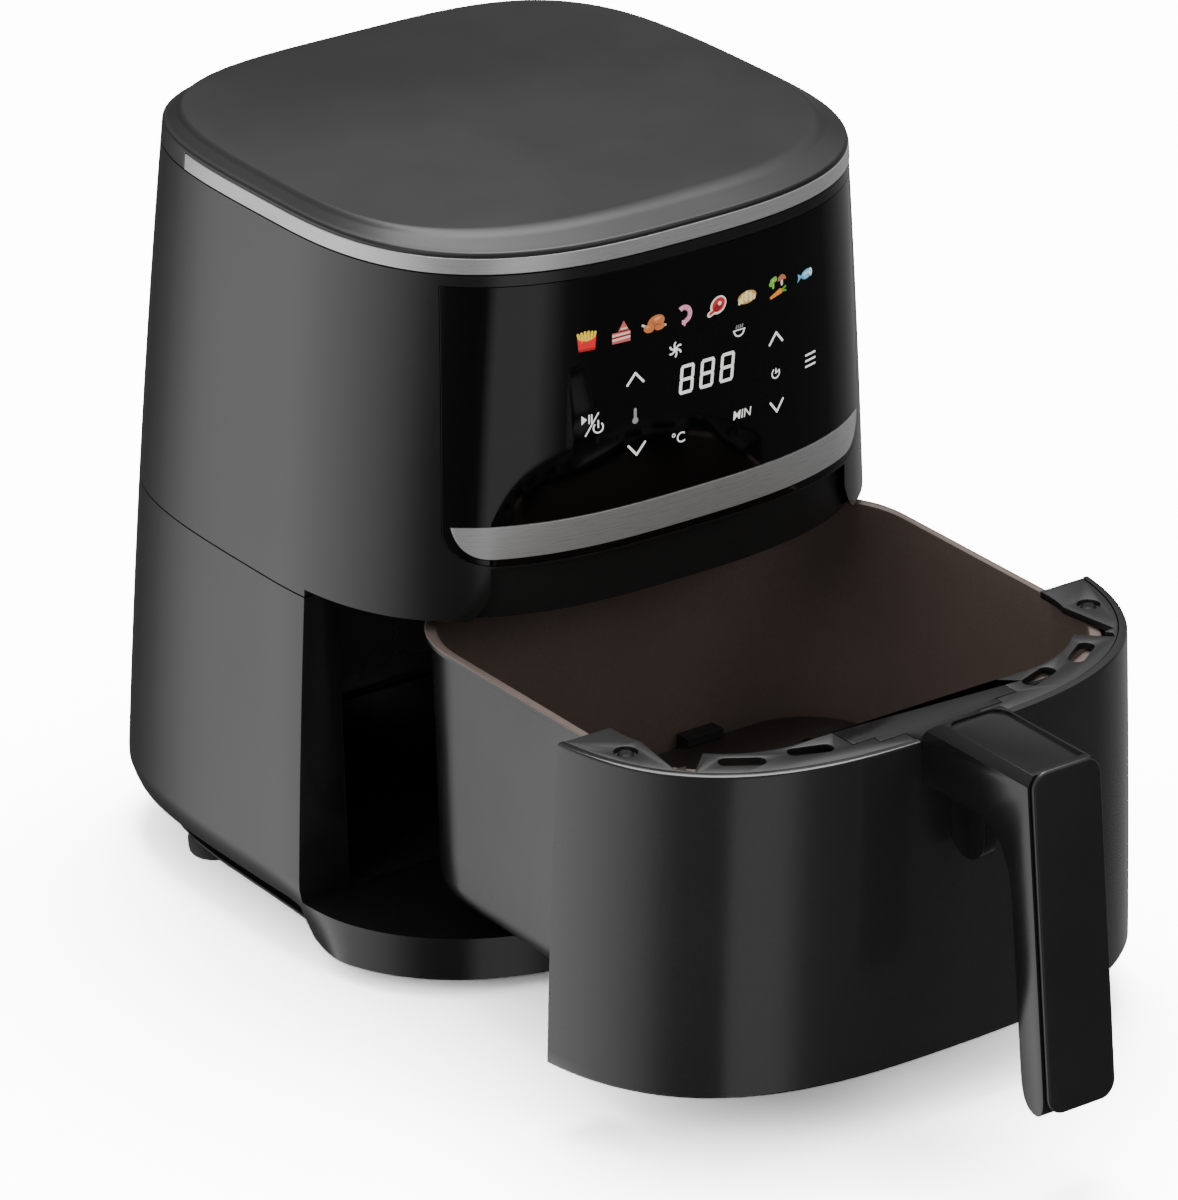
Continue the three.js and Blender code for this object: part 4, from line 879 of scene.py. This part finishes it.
def make_drawer_front():
    """The curved front with a solid band behind it that holds the tub, the ring and the handle."""
    side = [(DRAWER_LOW, 1.2 * MM), (DRAWER_LOW + 0.5 * MM, 0.4 * MM), (DRAWER_LOW + 1.4 * MM, 0)]
    side += [(z, 0) for z in np.linspace(DRAWER_LOW + 6 * MM, DRAWER_HIGH - 6 * MM, 12)]
    side += [(DRAWER_HIGH - 1.3 * MM, 0), (DRAWER_HIGH - 0.4 * MM, 0.35 * MM)]
    side.append((DRAWER_HIGH, 1.2 * MM))
    shell = ringed("front", [outline(z, inset) for z, inset in side])
    cut(shell, hull_solid("inside", DRAWER_LOW - MM, DRAWER_HIGH + MM, WALL))
    under = RING_TOP - RING_THICK - FIT
    body = hull_solid("block", DRAWER_LOW + MM, under, WALL - 0.5 * MM)
    sleeve, inner = [
        ringed(name, [at_height(basket_ring(BASKET_TOP, grow), z) for z in (0, FAR)])
        for name, grow in (("sleeve", 0.8 * MM), ("inner", 2.8 * MM))
    ]
    room = hull_solid("room", DRAWER_LOW + 3 * MM, under + MM, WALL)
    cut(room, inner)
    keep(room, front_box(0, FAR, TIP_Y - 2 * MM))
    cut(body, sleeve, room)
    add(shell, body)
    keep(shell, front_box(0, FAR, TIP_Y))
    pockets, screw_holes = [], []
    for x in (-SCREW_X, SCREW_X):
        pockets.append(post(x, SCREW_Y, BASKET_TOP - 12 * MM, FAR, LUG + MM))
    for x in (-HANDLE_SCREW_X, HANDLE_SCREW_X):
        ends = [(x, y, HANDLE_SCREW_Z) for y in (-FAR, FACE_Y + 8 * MM)]
        screw_holes.append(rod(*ends, PILOT, 24))
    root = prism(root_shape(FIT), under, FAR, 2)
    cut(shell, *pockets, root, *screw_holes)
    tidy(shell)
    shade_as_hull(shell, 30)
    return finish_piece(
        shell, "drawer_face", "drawer", drawer_gloss_painted_light, ["drawer_front"]
    )


def make_ring():
    """The rim's ring plate, with its slots, screw holes and notches."""
    bottom = RING_TOP - RING_THICK
    plate = ringed("ring", [at_height(outline(BROW, WALL + FIT), z) for z in (bottom, RING_TOP)])
    low, high = bottom - MM, RING_TOP + MM
    half, front = half_width(BROW) - RING_SIDE_IN, FACE_Y + RING_FRONT_IN
    corner = (half - RING_CORNER, front + RING_CORNER)
    opening = [
        round_ring(-half, half, front, front + 320 * MM, RING_CORNER, z, 24) for z in (low, high)
    ]
    tools = [ringed("opening", opening)]
    notch = [(101, -44), (92, -58), (88, -70), (101, -82)]
    notch += [(102.5, -78.5), (100.5, -76), (105.5, -75.5)]
    for side in (-1, 1):
        for angle, further in SLOTS:
            x, y = arc(*corner, RING_CORNER + SLOT_OUT, angle, angle, 0)[0]
            slot = rounded(-SLOT_HALF, SLOT_HALF, -SLOT_WIDE, SLOT_WIDE, 3 * MM)
            slot = prism(slot, low, high, 2)
            turn = Matrix.Rotation(side * math.radians(angle + 90 + further), 4, "Z")
            slot.data.transform(Matrix.Translation((side * x, y, 0)) @ turn)
            tools.append(slot)
        x = side * SCREW_X
        tools.append(post(x, SCREW_Y, low, high, PILOT, 24))
        tools.append(post(x, SCREW_Y, RING_TOP - 2 * MM, high, SCREW_HEAD))
        tools.append(prism([(side * u * MM, v * MM) for u, v in notch], low, high, 2))
    tools.append(prism(root_shape(FIT), low, high, 2))
    keep(plate, front_box(0, FAR, TIP_Y))
    cut(plate, *tools)
    soften(plate, 0.35 * MM, 2)
    shade(plate)
    return finish_piece(plate, "rim_ring", "drawer", ring_matte, ["drawer_ring"])


def grip_out_y(z):
    return FACE_Y - GRIP_OUT - LEAN * (ARM_TOP - z)


def grip_in_y(z):
    return grip_out_y(z) + GRIP_THICK


def make_handle():
    """Arm, grip and rib in one moulding, with the root plate that is let into the ring."""
    top, low, under = ARM_TOP, GRIP_LOW, ARM_TOP - 26 * MM
    back, bottom = FACE_Y + 4 * MM, RING_TOP - RING_THICK
    side = [(back, under), (back, RING_TOP), (FACE_Y + 1.5 * MM, RING_TOP)]
    side += curve_to(side[-1], (FACE_Y - 3 * MM, top - 1.5 * MM), (FACE_Y - 9 * MM, top), 8)
    side += [(grip_out_y(z) + COVER, z) for z in (top, low + 10 * MM)]
    toe = grip_out_y(low) + COVER
    side += curve_to(side[-1], (toe, low), (toe + 5 * MM, low))
    side += curve_to(side[-1], (grip_in_y(low), low), (grip_in_y(low + 14 * MM), low + 14 * MM))
    side.append((grip_in_y(under - 28 * MM), under - 28 * MM))
    elbow = (grip_in_y(under - 2 * MM), under - 2 * MM)
    side += curve_to(side[-1], elbow, (FACE_Y - 32 * MM, under), 16)
    arm = prism(side, -GRIP_HALF, GRIP_HALF, 0)
    edges = []
    for s in (-1, 1):
        inner, outer = s * (GRIP_HALF - 3 * MM), s * (GRIP_HALF + MM)
        high = top + 0.01 * MM
        edges.append(prism([(inner, high), (outer, top - 5.3 * MM), (outer, high)], -FAR, 0, 1))
    half = GRIP_HALF - 4 * MM
    channel = rounded(-half, half, grip_out_y(top) - 20 * MM, FACE_Y - 8 * MM, 6 * MM)
    channel = prism(channel, top - 1.4 * MM, top + 5 * MM, 2)
    keep(channel, block(-FAR, FAR, grip_out_y(top) + 6 * MM, 0, 0, FAR))
    cut(arm, channel, *edges)
    cut(arm, hull_solid("face", DRAWER_LOW, bottom, -FIT))
    cut(arm, block(-FAR, FAR, FACE_Y + 0.5 * MM, 0, bottom - MM, top + MM))
    r = RIB_OUT / 2
    rib = [(FACE_Y, under + 4 * MM), (FACE_Y, RIB_LOW + r)]
    rib += arc(FACE_Y - r, RIB_LOW + r, r, 0, -180, 20)
    rib.append((FACE_Y - RIB_OUT, under + 4 * MM))
    fin = prism(rib, -3 * MM, 3 * MM, 0)
    cut(fin, hull_solid("face", DRAWER_LOW, bottom, -FIT))
    root = prism(root_shape(), bottom, RING_TOP, 2)
    add(arm, fin, root)
    soften(arm, 0.9 * MM, 3, 34)
    shade(arm, 30)
    return finish_piece(arm, "handle", "drawer", handle_gloss, ["handle_body"])


def make_cover():
    half, high, low = GRIP_HALF - MM, ARM_TOP + 1.2 * MM, GRIP_LOW + 2 * MM
    slab = prism(rounded(-half, half, low, high, 7 * MM, 12), -FAR, 0, 1)
    behind = COVER - FIT
    foot, head = low - 5 * MM, high + 5 * MM
    layer = [(grip_out_y(foot), foot), (grip_out_y(foot) + behind, foot)]
    layer += [(grip_out_y(head) + behind, head), (grip_out_y(head), head)]
    keep(slab, prism(layer, -FAR, FAR, 0))
    soften(slab, 0.9 * MM, 3, 40)
    shade(slab, 30)
    return finish_piece(slab, "grip_cover", "drawer", cover_satin, ["handle_cover"])


def make_plate():
    """The slotted food plate on its four tabs."""
    z, away = PLATE_Z, LIP + PLATE_GAP
    half = bay_half(z) - BASKET_SLIDE - away
    y0, y1 = BASKET_FRONT + away, BASKET_BACK - away
    levels = (z, z + PLATE_THICK)
    sheet = [round_ring(-half, half, y0, y1, BASKET_CORNER - away, level) for level in levels]
    sheet = ringed("plate", sheet)
    across, deep = PLATE_SLOTS
    pitch = (2 * half - 30 * MM) / across
    slots = []
    for i in range(across):
        for j in range(deep):
            x = -half + 15 * MM + (i + 0.5) * pitch
            y = y0 + 18 * MM + (y1 - y0 - 36 * MM) * (j + 0.5) / deep
            slot = rounded(x - 3 * MM, x + 3 * MM, y - 13 * MM, y + 13 * MM, 2.9 * MM, 6)
            slots.append(prism(slot, z - MM, z + 4 * MM, 2))
    cut(sheet, *slots)
    soften(sheet, 0.4 * MM, 2)
    tabs = []
    for x in (-half + 30 * MM, half - 30 * MM):
        for y in (y0 + 6 * MM, y1 - 6 * MM):
            tabs.append(block(x - 6 * MM, x + 6 * MM, y - MM, y + MM, z - 15 * MM, z + 0.5 * MM))
    add(sheet, *tabs)
    shade(sheet)
    return finish_piece(
        sheet, "food_plate", "crisper", plate_coat, ["crisper_plate"]
    )


def make_foot(name, x, y, steps=64):
    """A rubber foot, turned from its radii and heights in millimetres."""
    profile = [(7, 0.3), (8, 0.3), (8.6, 0.02), (9.2, 0), (9.9, 0.5), (10.4, 1.2)]
    profile += [(10.9, 4), (11, 6.6), (10.4, 8.3), (9.6, 8.6), (7, 8.6)]
    turn = np.arange(steps) * 2 * math.pi / steps
    rings = []
    for radius, z in np.array(profile) * MM:
        around = [x + radius * np.cos(turn), y + radius * np.sin(turn), np.full(steps, z)]
        rings.append(np.stack(around, 1))
    pad = ringed(name, rings)
    shade(pad, 40)
    return finish_piece(pad, name + "_pad", "housing", rubber, [name])


def make_feet():
    for side, sign in (("left", -1), ("right", 1)):
        for end, (x, y) in FEET.items():
            make_foot(f"foot_{end}_{side}", sign * x, y)


# ---- Marks behind the panel's face: flat shapes in millimetres, laid on the panel's curve ----


def colour(code):
    """A six-digit paint code as linear red, green and blue."""
    parts = [int(code[i : i + 2], 16) / 255 for i in (0, 2, 4)]
    return tuple(v / 12.92 if v <= 0.04045 else ((v + 0.055) / 1.055) ** 2.4 for v in parts)


def bar(u0, v0, u1, v1, width):
    """A round-ended stroke."""
    turn = math.degrees(math.atan2(v1 - v0, u1 - u0))
    r = width / 2
    return arc(u1, v1, r, turn - 90, turn + 90, 6) + arc(u0, v0, r, turn + 90, turn + 270, 6)


def disc(u, v, r, squash=1.0, turn=0.0):
    c, s = math.cos(math.radians(turn)), math.sin(math.radians(turn))
    found = []
    for a in np.radians(np.arange(0, 360, 15)):
        x, y = r * math.cos(a), r * squash * math.sin(a)
        found.append((u + c * x - s * y, v + s * x + c * y))
    return found


def sweep(u, v, r, width, start, end, steps=16):
    """A curved stroke round a centre."""
    inside = arc(u, v, r - width / 2, start, end, steps)
    return arc(u, v, r + width / 2, start, end, steps) + inside[::-1]


def wedge(u, v, r, start, end):
    return arc(u, v, r, start, end, 12) + [(u, v)]


def digit(u):
    """Seven bars, leaning to the right."""
    half, tall, width, gap = 2.7, 5.4, 1.35, 0.45
    bars = [(-half + gap, v, half - gap, v) for v in (-tall, 0, tall)]
    for side in (-half, half):
        bars.append((side, gap + 0.2, side, tall - gap - 0.2))
        bars.append((side, -tall + gap + 0.2, side, -gap - 0.2))
    return [bar(u + u0 + 0.1 * v0, v0, u + u1 + 0.1 * v1, v1, width) for u0, v0, u1, v1 in bars]


INKS = {
    "chip yellow": "f7d23c",
    "chip shade": "d9a520",
    "carton red": "dd1f26",
    "carton shade": "b3151c",
    "cake red": "c9605a",
    "cake cream": "f3cdbf",
    "cake filling": "8e2f2c",
    "bone": "f3dcc0",
    "roast brown": "c6733f",
    "roast shade": "8a4520",
    "roast light": "e6a06c",
    "prawn pink": "eb9fb6",
    "prawn line": "c76a86",
    "steak fat": "f6e3d6",
    "steak red": "c21f2b",
    "steak shade": "8f1420",
    "steak bone": "f8efe6",
    "crust": "c79a48",
    "bread": "f4e3a8",
    "bread shade": "dcb866",
    "leaf green": "6cb53c",
    "leaf light": "a5d86c",
    "stalk": "f1dcc8",
    "mushroom cap": "b5664a",
    "carrot orange": "f08c1e",
    "carrot top": "58a02e",
    "fish blue": "4fb0de",
    "fish light": "a9def2",
    "fish head": "eef6f8",
    "fish eye": "1d2a30",
    "white": "f4f4f2",
    "soft white": "a2a2a0",
}
GLOW = {"white": 0.75, "soft white": 0.4}
PICTURE_GLOW = 0.55

# place of each mark on the panel, then its shapes from back to front
MARKS = [
    (-48, 274, [
        ("chip yellow", [
            bar(u, -1, u * 1.35, 3.2 - abs(u) * 0.25, 1.05)
            for u in (-2.7, -1.6, -0.5, 0.6, 1.7, 2.7)
        ]),
        ("chip shade", [bar(u, -1, u * 1.4, 2.2, 0.35) for u in (-2.1, -1.0, 0.1, 1.2, 2.3)]),
        ("carton red", [[
            (-4.0, 0.9), (-3.4, -4.6), (3.4, -4.6), (4.0, 0.9), (2.4, -0.2), (0, -0.7), (-2.4, -0.2)
        ]]),
        ("carton shade", [[(-3.5, -3.6), (-3.4, -4.6), (3.4, -4.6), (3.5, -3.6)]]),
    ]),
    (-33, 274, [
        ("cake red", [
            [(-1.4, 0.6), (1.1, 4.6), (3.3, 0.6)],
            [(-4.1, -4.2), (4.0, -4.2), (4.0, 0.2), (-4.1, 0.2)],
        ]),
        ("cake cream", [
            bar(-3.7, -0.9, 3.6, -0.7, 0.8), bar(-3.7, -2.7, 3.6, -2.4, 0.9),
            bar(0, 1.4, 2.4, 1.4, 0.6),
        ]),
        ("cake filling", [bar(-3.6, -1.8, 3.6, -1.5, 0.6)]),
    ]),
    (-18, 274, [
        ("bone", [bar(-5.4, 0.6, -4.0, -0.2, 0.9), bar(4.0, -1.7, 5.3, -1.4, 0.9)]),
        ("roast brown", [
            disc(0.9, 0.8, 4.0, 0.68, 10), disc(-2.4, -1.3, 2.5, 0.72, -8),
            disc(2.6, -1.5, 2.4, 0.6, 6),
        ]),
        (
            "roast shade",
            [sweep(-1.9, -1.0, 2.1, 0.35, -40, 70, 8), sweep(1.6, -2.6, 2.2, 0.35, 50, 120, 8)],
        ),
        ("roast light", [disc(1.4, 2.0, 1.5, 0.4, 14), disc(-3.0, -0.6, 0.9, 0.4)]),
    ]),
    (-3, 274, [
        ("prawn pink", [
            sweep(-0.9, 0.6, 2.9, 2.1, -78, 128, 20),
            [(-1.8, -1.6), (0.6, -1.9), (-0.4, -4.4), (-1.9, -3.2)],
        ]),
        ("prawn line", [sweep(-0.9, 0.6, 2.0, 0.35, -70, 110, 16)] + [
            bar(
                -0.9 + 2.2 * math.cos(a), 0.6 + 2.2 * math.sin(a), -0.9 + 3.6 * math.cos(a),
                0.6 + 3.6 * math.sin(a), 0.28,
            )
            for a in np.radians((-55, -20, 15, 50, 85))
        ]),
    ]),
    (12, 274, [
        ("steak fat", [disc(0.7, 0.5, 4.1, 0.86, 35), bar(-3.5, -2.6, -1.0, -1.4, 2.4)]),
        ("steak red", [disc(0.8, 0.6, 3.3, 0.82, 35), bar(-3.2, -2.4, -1.0, -1.3, 1.2)]),
        ("steak shade", [disc(0.6, -0.1, 2.3, 0.6, 35)]),
        ("steak bone", [disc(1.3, 1.1, 0.85)]),
    ]),
    (27, 274, [
        ("crust", [disc(0, 0.1, 4.7, 0.56, 4)]),
        ("bread", [
            bar(-3.9, -1.7, -3.5, -0.3, 1.2), bar(-2.5, -1.4, -2.0, 1.1, 1.5),
            bar(-0.4, -0.7, -0.1, 1.8, 2.0), bar(1.9, -1.2, 1.8, 1.3, 1.5),
            bar(3.6, -1.1, 3.5, 0.2, 1.1),
        ]),
        ("bread shade", [bar(0.4, -0.8, 0.6, 1.7, 0.4), bar(-2.0, -1.2, -1.6, 0.9, 0.3)]),
    ]),
    (43, 274, [
        ("leaf green", [
            disc(-2.8, 3.0, 1.25), disc(-1.5, 3.5, 1.2), disc(-3.6, 1.9, 1.0),
            bar(-2.4, 0.2, -2.4, 2.2, 1.1),
        ]),
        ("leaf light", [disc(-2.4, 3.3, 0.55), bar(-2.2, 0.4, -2.2, 1.6, 0.35)]),
        ("stalk", [bar(2.3, 0.5, 2.3, 2.3, 1.1)]),
        ("mushroom cap", [wedge(2.3, 2.2, 2.3, 0, 180)]),
        ("carrot orange", [[(-4.2, -3.4), (-3.8, -4.3), (2.2, -3.1), (2.5, -1.5), (1.2, -1.0)]]),
        ("carrot top", [bar(2.4, -2.0, 4.2, -0.9, 0.8), bar(2.6, -2.4, 4.4, -2.6, 0.7)]),
    ]),
    (59, 274, [
        (
            "fish blue",
            [disc(0.8, 0.3, 3.3, 0.6, 6), [(-2.0, 0.1), (-4.6, 1.7), (-4.2, -0.1), (-4.8, -1.9)]],
        ),
        ("fish light", [disc(0.4, 0.7, 2.2, 0.3, 6), bar(-0.6, -0.7, 1.2, -0.8, 0.4)]),
        ("fish head", [wedge(1.9, 0.4, 2.2, -52, 62)]),
        ("fish eye", [disc(3.0, 0.8, 0.32)]),
    ]),
    (-8, 261, [("white", [
        sweep(
            2.0 * math.cos(a), 2.0 * math.sin(a), 1.5, 0.75, math.degrees(a) + 60,
            math.degrees(a) + 190, 8,
        )
        for a in np.radians(np.arange(0, 360, 60))
    ])]),
    (23, 261, [
        ("white", [sweep(0, 0.4, 2.5, 0.6, 180, 360), bar(-2.9, 0.5, 2.9, 0.5, 0.45)]),
        ("soft white", [bar(u, 1.3, u + 0.4, 2.5, 0.4) for u in (-1.6, -0.6, 0.4, 1.4)]),
    ]),
    (-27, 253.6, [("white", [bar(-3.5, -2.3, 0.2, 2.1, 0.95), bar(0.2, 2.1, 3.9, -2.1, 0.95)])]),
    (42, 253, [("white", [bar(-3.3, -2.3, 0.2, 2.1, 0.95), bar(0.2, 2.1, 3.6, -2.1, 0.95)])]),
    (-26.5, 223.8, [("white", [bar(-3.7, 2.1, 0, -2.2, 0.95), bar(0, -2.2, 3.9, 2.3, 0.95)])]),
    (42.6, 223.9, [("white", [bar(-3.4, 2.1, 0, -2.2, 0.95), bar(0, -2.2, 3.3, 2.3, 0.95)])]),
    (-27, 238, [("soft white", [bar(0, 2.6, 0, -1.4, 1.3), disc(0, -2.0, 1.35)])]),
    (
        42,
        238,
        [
            ("white", [
                    sweep(0, 0, 2.0, 0.6, 118, 398), bar(0, 0.1, 0.1, 1.9, 0.55),
                    bar(0, 0.1, 1.4, 0.8, 0.55),
        ]),
        ]),
    (7.2, 247.5, [("white", digit(-9.8) + digit(0) + digit(9.8))]),
    (-46, 238.6, [("white", [
        [(-4.6, 0.4), (-4.6, 4.2), (-2.4, 2.3)],
        bar(-1.4, 0.6, -1.4, 3.9, 0.6),
        bar(-0.3, 0.6, -0.3, 3.9, 0.6),
        bar(-3.0, -4.4, 2.6, 4.2, 0.6),
        sweep(2.5, -1.9, 2.1, 0.65, 130, 410),
        bar(2.5, -1.8, 2.5, 1.0, 0.65),
    ])]),
    (62, 237.6, [("white", [bar(-2.8, v, 2.8, v, 0.85) for v in (-2.4, 0, 2.4)])]),
]


def lay_on_panel(piece):
    """From (across, raised, up) to the panel's curve."""
    x, raised, z = points_of(piece).T
    place_points(piece, np.stack([x, front_y(x, z) - raised, z], 1))


def make_letters(words, x, z, size, lean):
    text = start_piece(bpy.ops.object.text_add)
    text.data.body = words
    text.data.size = size * MM
    text.data.extrude = 0.07 * MM
    text.data.offset = 0.02 * MM
    text.data.shear = lean
    text.data.resolution_u = 6
    bpy.ops.object.convert(target="MESH")
    across, up, out = points_of(text).T
    place_points(text, np.stack([across + x * MM, out - 0.03 * MM, up + z * MM], 1))
    return text


def make_marks():
    by_ink = {}
    for x, z, layers in MARKS:
        for order, (ink, shapes) in enumerate(layers):
            for shape in shapes:
                points = [(x * MM + u * MM, z * MM + v * MM) for u, v in shape]
                piece = prism(points, -0.1 * MM, (0.04 + 0.03 * order) * MM, 1)
                by_ink.setdefault(ink, []).append(piece)
    for words in (("\u00b0C", -10.2, 221.6, 6.2, 0.0), ("MIN", 19.6, 224.2, 5.2, 0.12)):
        by_ink["white"].append(make_letters(*words))
    for number, (ink, shapes) in enumerate(by_ink.items()):
        only(shapes[0])
        for shape in shapes:
            shape.select_set(True)
        bpy.ops.object.join()
        piece = bpy.context.active_object
        lay_on_panel(piece)
        face_outward(piece)
        paint = printed(ink + " ink", colour(INKS[ink]), GLOW.get(ink, PICTURE_GLOW))
        finish_piece(piece, f"panel_mark_{number + 1}", "housing", paint)


# ---- Camera, light and floor ----


def make_camera():
    azimuth, elevation = math.radians(-36), math.radians(24.82)
    data = bpy.data.cameras.new("camera")
    camera = bpy.data.objects.new("camera", data)
    bpy.context.scene.collection.objects.link(camera)
    data.sensor_width = 36
    data.lens = 236.5
    data.clip_start, data.clip_end = 0.1, 50
    camera.location = (-1.6797, -2.3548 + AXIS_Y, 1.4488)
    camera.rotation_euler = (math.pi / 2 - elevation, 0, azimuth)
    bpy.context.scene.camera = camera


def area_light(name, place, aim_z, size, power):
    """A soft box at a place, turned towards the object's middle at height aim_z."""
    data = bpy.data.lights.new(name, "AREA")
    data.energy = power
    data.shape = "RECTANGLE"
    data.size, data.size_y = size
    light = bpy.data.objects.new(name, data)
    bpy.context.scene.collection.objects.link(light)
    light.location = place
    aim = Vector((0, 0, aim_z)) - Vector(place)
    light.rotation_euler = aim.to_track_quat("-Z", "Y").to_euler()


# what the surroundings send back at each turn round the object, from the left side through the
# front to the right and the back: (share of a turn, brightness)
SURROUND = [
    (0.0, 1.3),
    (0.03, 0.95),
    (0.07, 0.35),
    (0.1, 0.1),
    (0.15, 0.06),
    (0.165, 0.1),
    (0.182, 0.8),
    (0.24, 0.8),
    (0.272, 0.15),
    (0.3, 0.08),
    (0.47, 0.08),
    (0.53, 0.25),
    (0.585, 0.35),
    (0.65, 0.12),
    (0.7, 0.08),
    (0.75, 0.12),
    (0.79, 0.3),
    (0.82, 0.8),
    (0.845, 1.75),
    (0.86, 2.05),
    (0.93, 1.9),
    (0.97, 1.6),
    (1.0, 1.3),
]


def make_world():
    """A dark studio with a bright wall on the left, a soft ceiling and white paper all round."""
    world = bpy.data.worlds.new("studio")
    bpy.context.scene.world = world
    world.use_nodes = True
    tree = world.node_tree
    direction = node(tree, "ShaderNodeTexCoord").outputs["Generated"]
    turn = node(tree, "ShaderNodeTexGradient", {"Vector": direction}, gradient_type="RADIAL")
    ramp = node(tree, "ShaderNodeValToRGB", {"Fac": turn.outputs["Fac"]})
    stops = ramp.color_ramp.elements
    for share, value in SURROUND[1:-1]:
        stops.new(share).color = (value, value, value, 1)
    for stop, (_, value) in ((stops[0], SURROUND[0]), (stops[-1], SURROUND[-1])):
        stop.color = (value, value, value, 1)
    up = node(tree, "ShaderNodeSeparateXYZ", {"Vector": direction}).outputs["Z"]
    ceiling = remap(tree, up, 0.3, 0.95, 0.12, 0.9)
    overhead = remap(tree, up, 0.02, 0.2, 0.0, 1.0)
    studio = mix(tree, overhead, ramp.outputs["Color"], ceiling, "FLOAT")
    camera_ray = node(tree, "ShaderNodeLightPath").outputs["Is Camera Ray"]
    seen = mix(tree, camera_ray, studio, PAPER, "FLOAT")
    feed(tree, tree.nodes["Background"], {"Color": (1, 1, 1, 1), "Strength": seen})


def make_floor():
    """White paper: bright to the eye, left out of reflections so that the studio shows in them."""
    grid = bpy.ops.mesh.primitive_grid_add
    floor = start_piece(grid, x_subdivisions=8, y_subdivisions=8, size=24)
    floor.name = "floor"
    material = bpy.data.materials.new("paper")
    material.use_nodes = True
    tree = material.node_tree
    tree.nodes.clear()
    path = node(tree, "ShaderNodeLightPath").outputs
    white = mix(tree, path["Is Camera Ray"], (0.8, 0.8, 0.8, 1), (PAPER, PAPER, PAPER, 1))
    paper = node(tree, "ShaderNodeBsdfDiffuse", {"Color": white}).outputs["BSDF"]
    clear = node(tree, "ShaderNodeBsdfTransparent").outputs["BSDF"]
    inputs = {"Fac": path["Is Glossy Ray"], 1: paper, 2: clear}
    surface = node(tree, "ShaderNodeMixShader", inputs).outputs["Shader"]
    node(tree, "ShaderNodeOutputMaterial", {"Surface": surface})
    floor.data.materials.append(material)


make_camera()
make_world()
make_floor()
area_light("overhead", (0.45, 0.55, 2.4), 0.1, (1.5, 1.5), 62)
area_light("left", (-2.4, -0.6, 1.5), 0.15, (1.4, 1.2), 12)
area_light("front", (1.2, -2.6, 1.6), 0.15, (1.4, 1.2), 12)

make_lower_body()
make_upper_body()
make_notch_plate()
make_panel()
make_strip()
make_marks()
make_lid()
make_band()
make_grille()
make_liner()
make_basket()
make_drawer_front()
make_ring()
make_handle()
make_cover()
make_plate()
make_feet()

KEPT = [
    (under_matte, ["base_plate"]),
    (screw_steel, [
        "base_screw_1", "base_screw_2", "base_screw_3", "base_screw_4", "temperature_sensor",
        "handle_screw_1", "handle_screw_2",
    ]),
    (rubber, ["cord_gland"]),
    (inner_plastic, [
        "exhaust_duct", "display_carrier", "door_switch", "switch_plunger", "cooling_fan",
    ]),
    (plated, ["chamber_liner", "heat_shield", "fan_guard", "motor_bracket"]),
    (sheath, ["heating_element"]),
    (ceramic, ["element_bushing", "thermal_cutout"]),
    (motor_steel, ["motor", "motor_shaft"]),
    (board_green, ["display_board", "power_board"]),
    (fan_metal, ["convection_fan"]),
    (ring_matte, ["handle_bracket"]),
    (black_screw, ["ring_screw_1", "ring_screw_2"]),
    (silicone, ["plate_bumper_1", "plate_bumper_2", "plate_bumper_3", "plate_bumper_4"]),
]
for kept_material, kept_names in KEPT:
    for kept_name in kept_names:
        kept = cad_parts[kept_name]
        kept.data.materials.clear()
        kept.data.materials.append(kept_material)
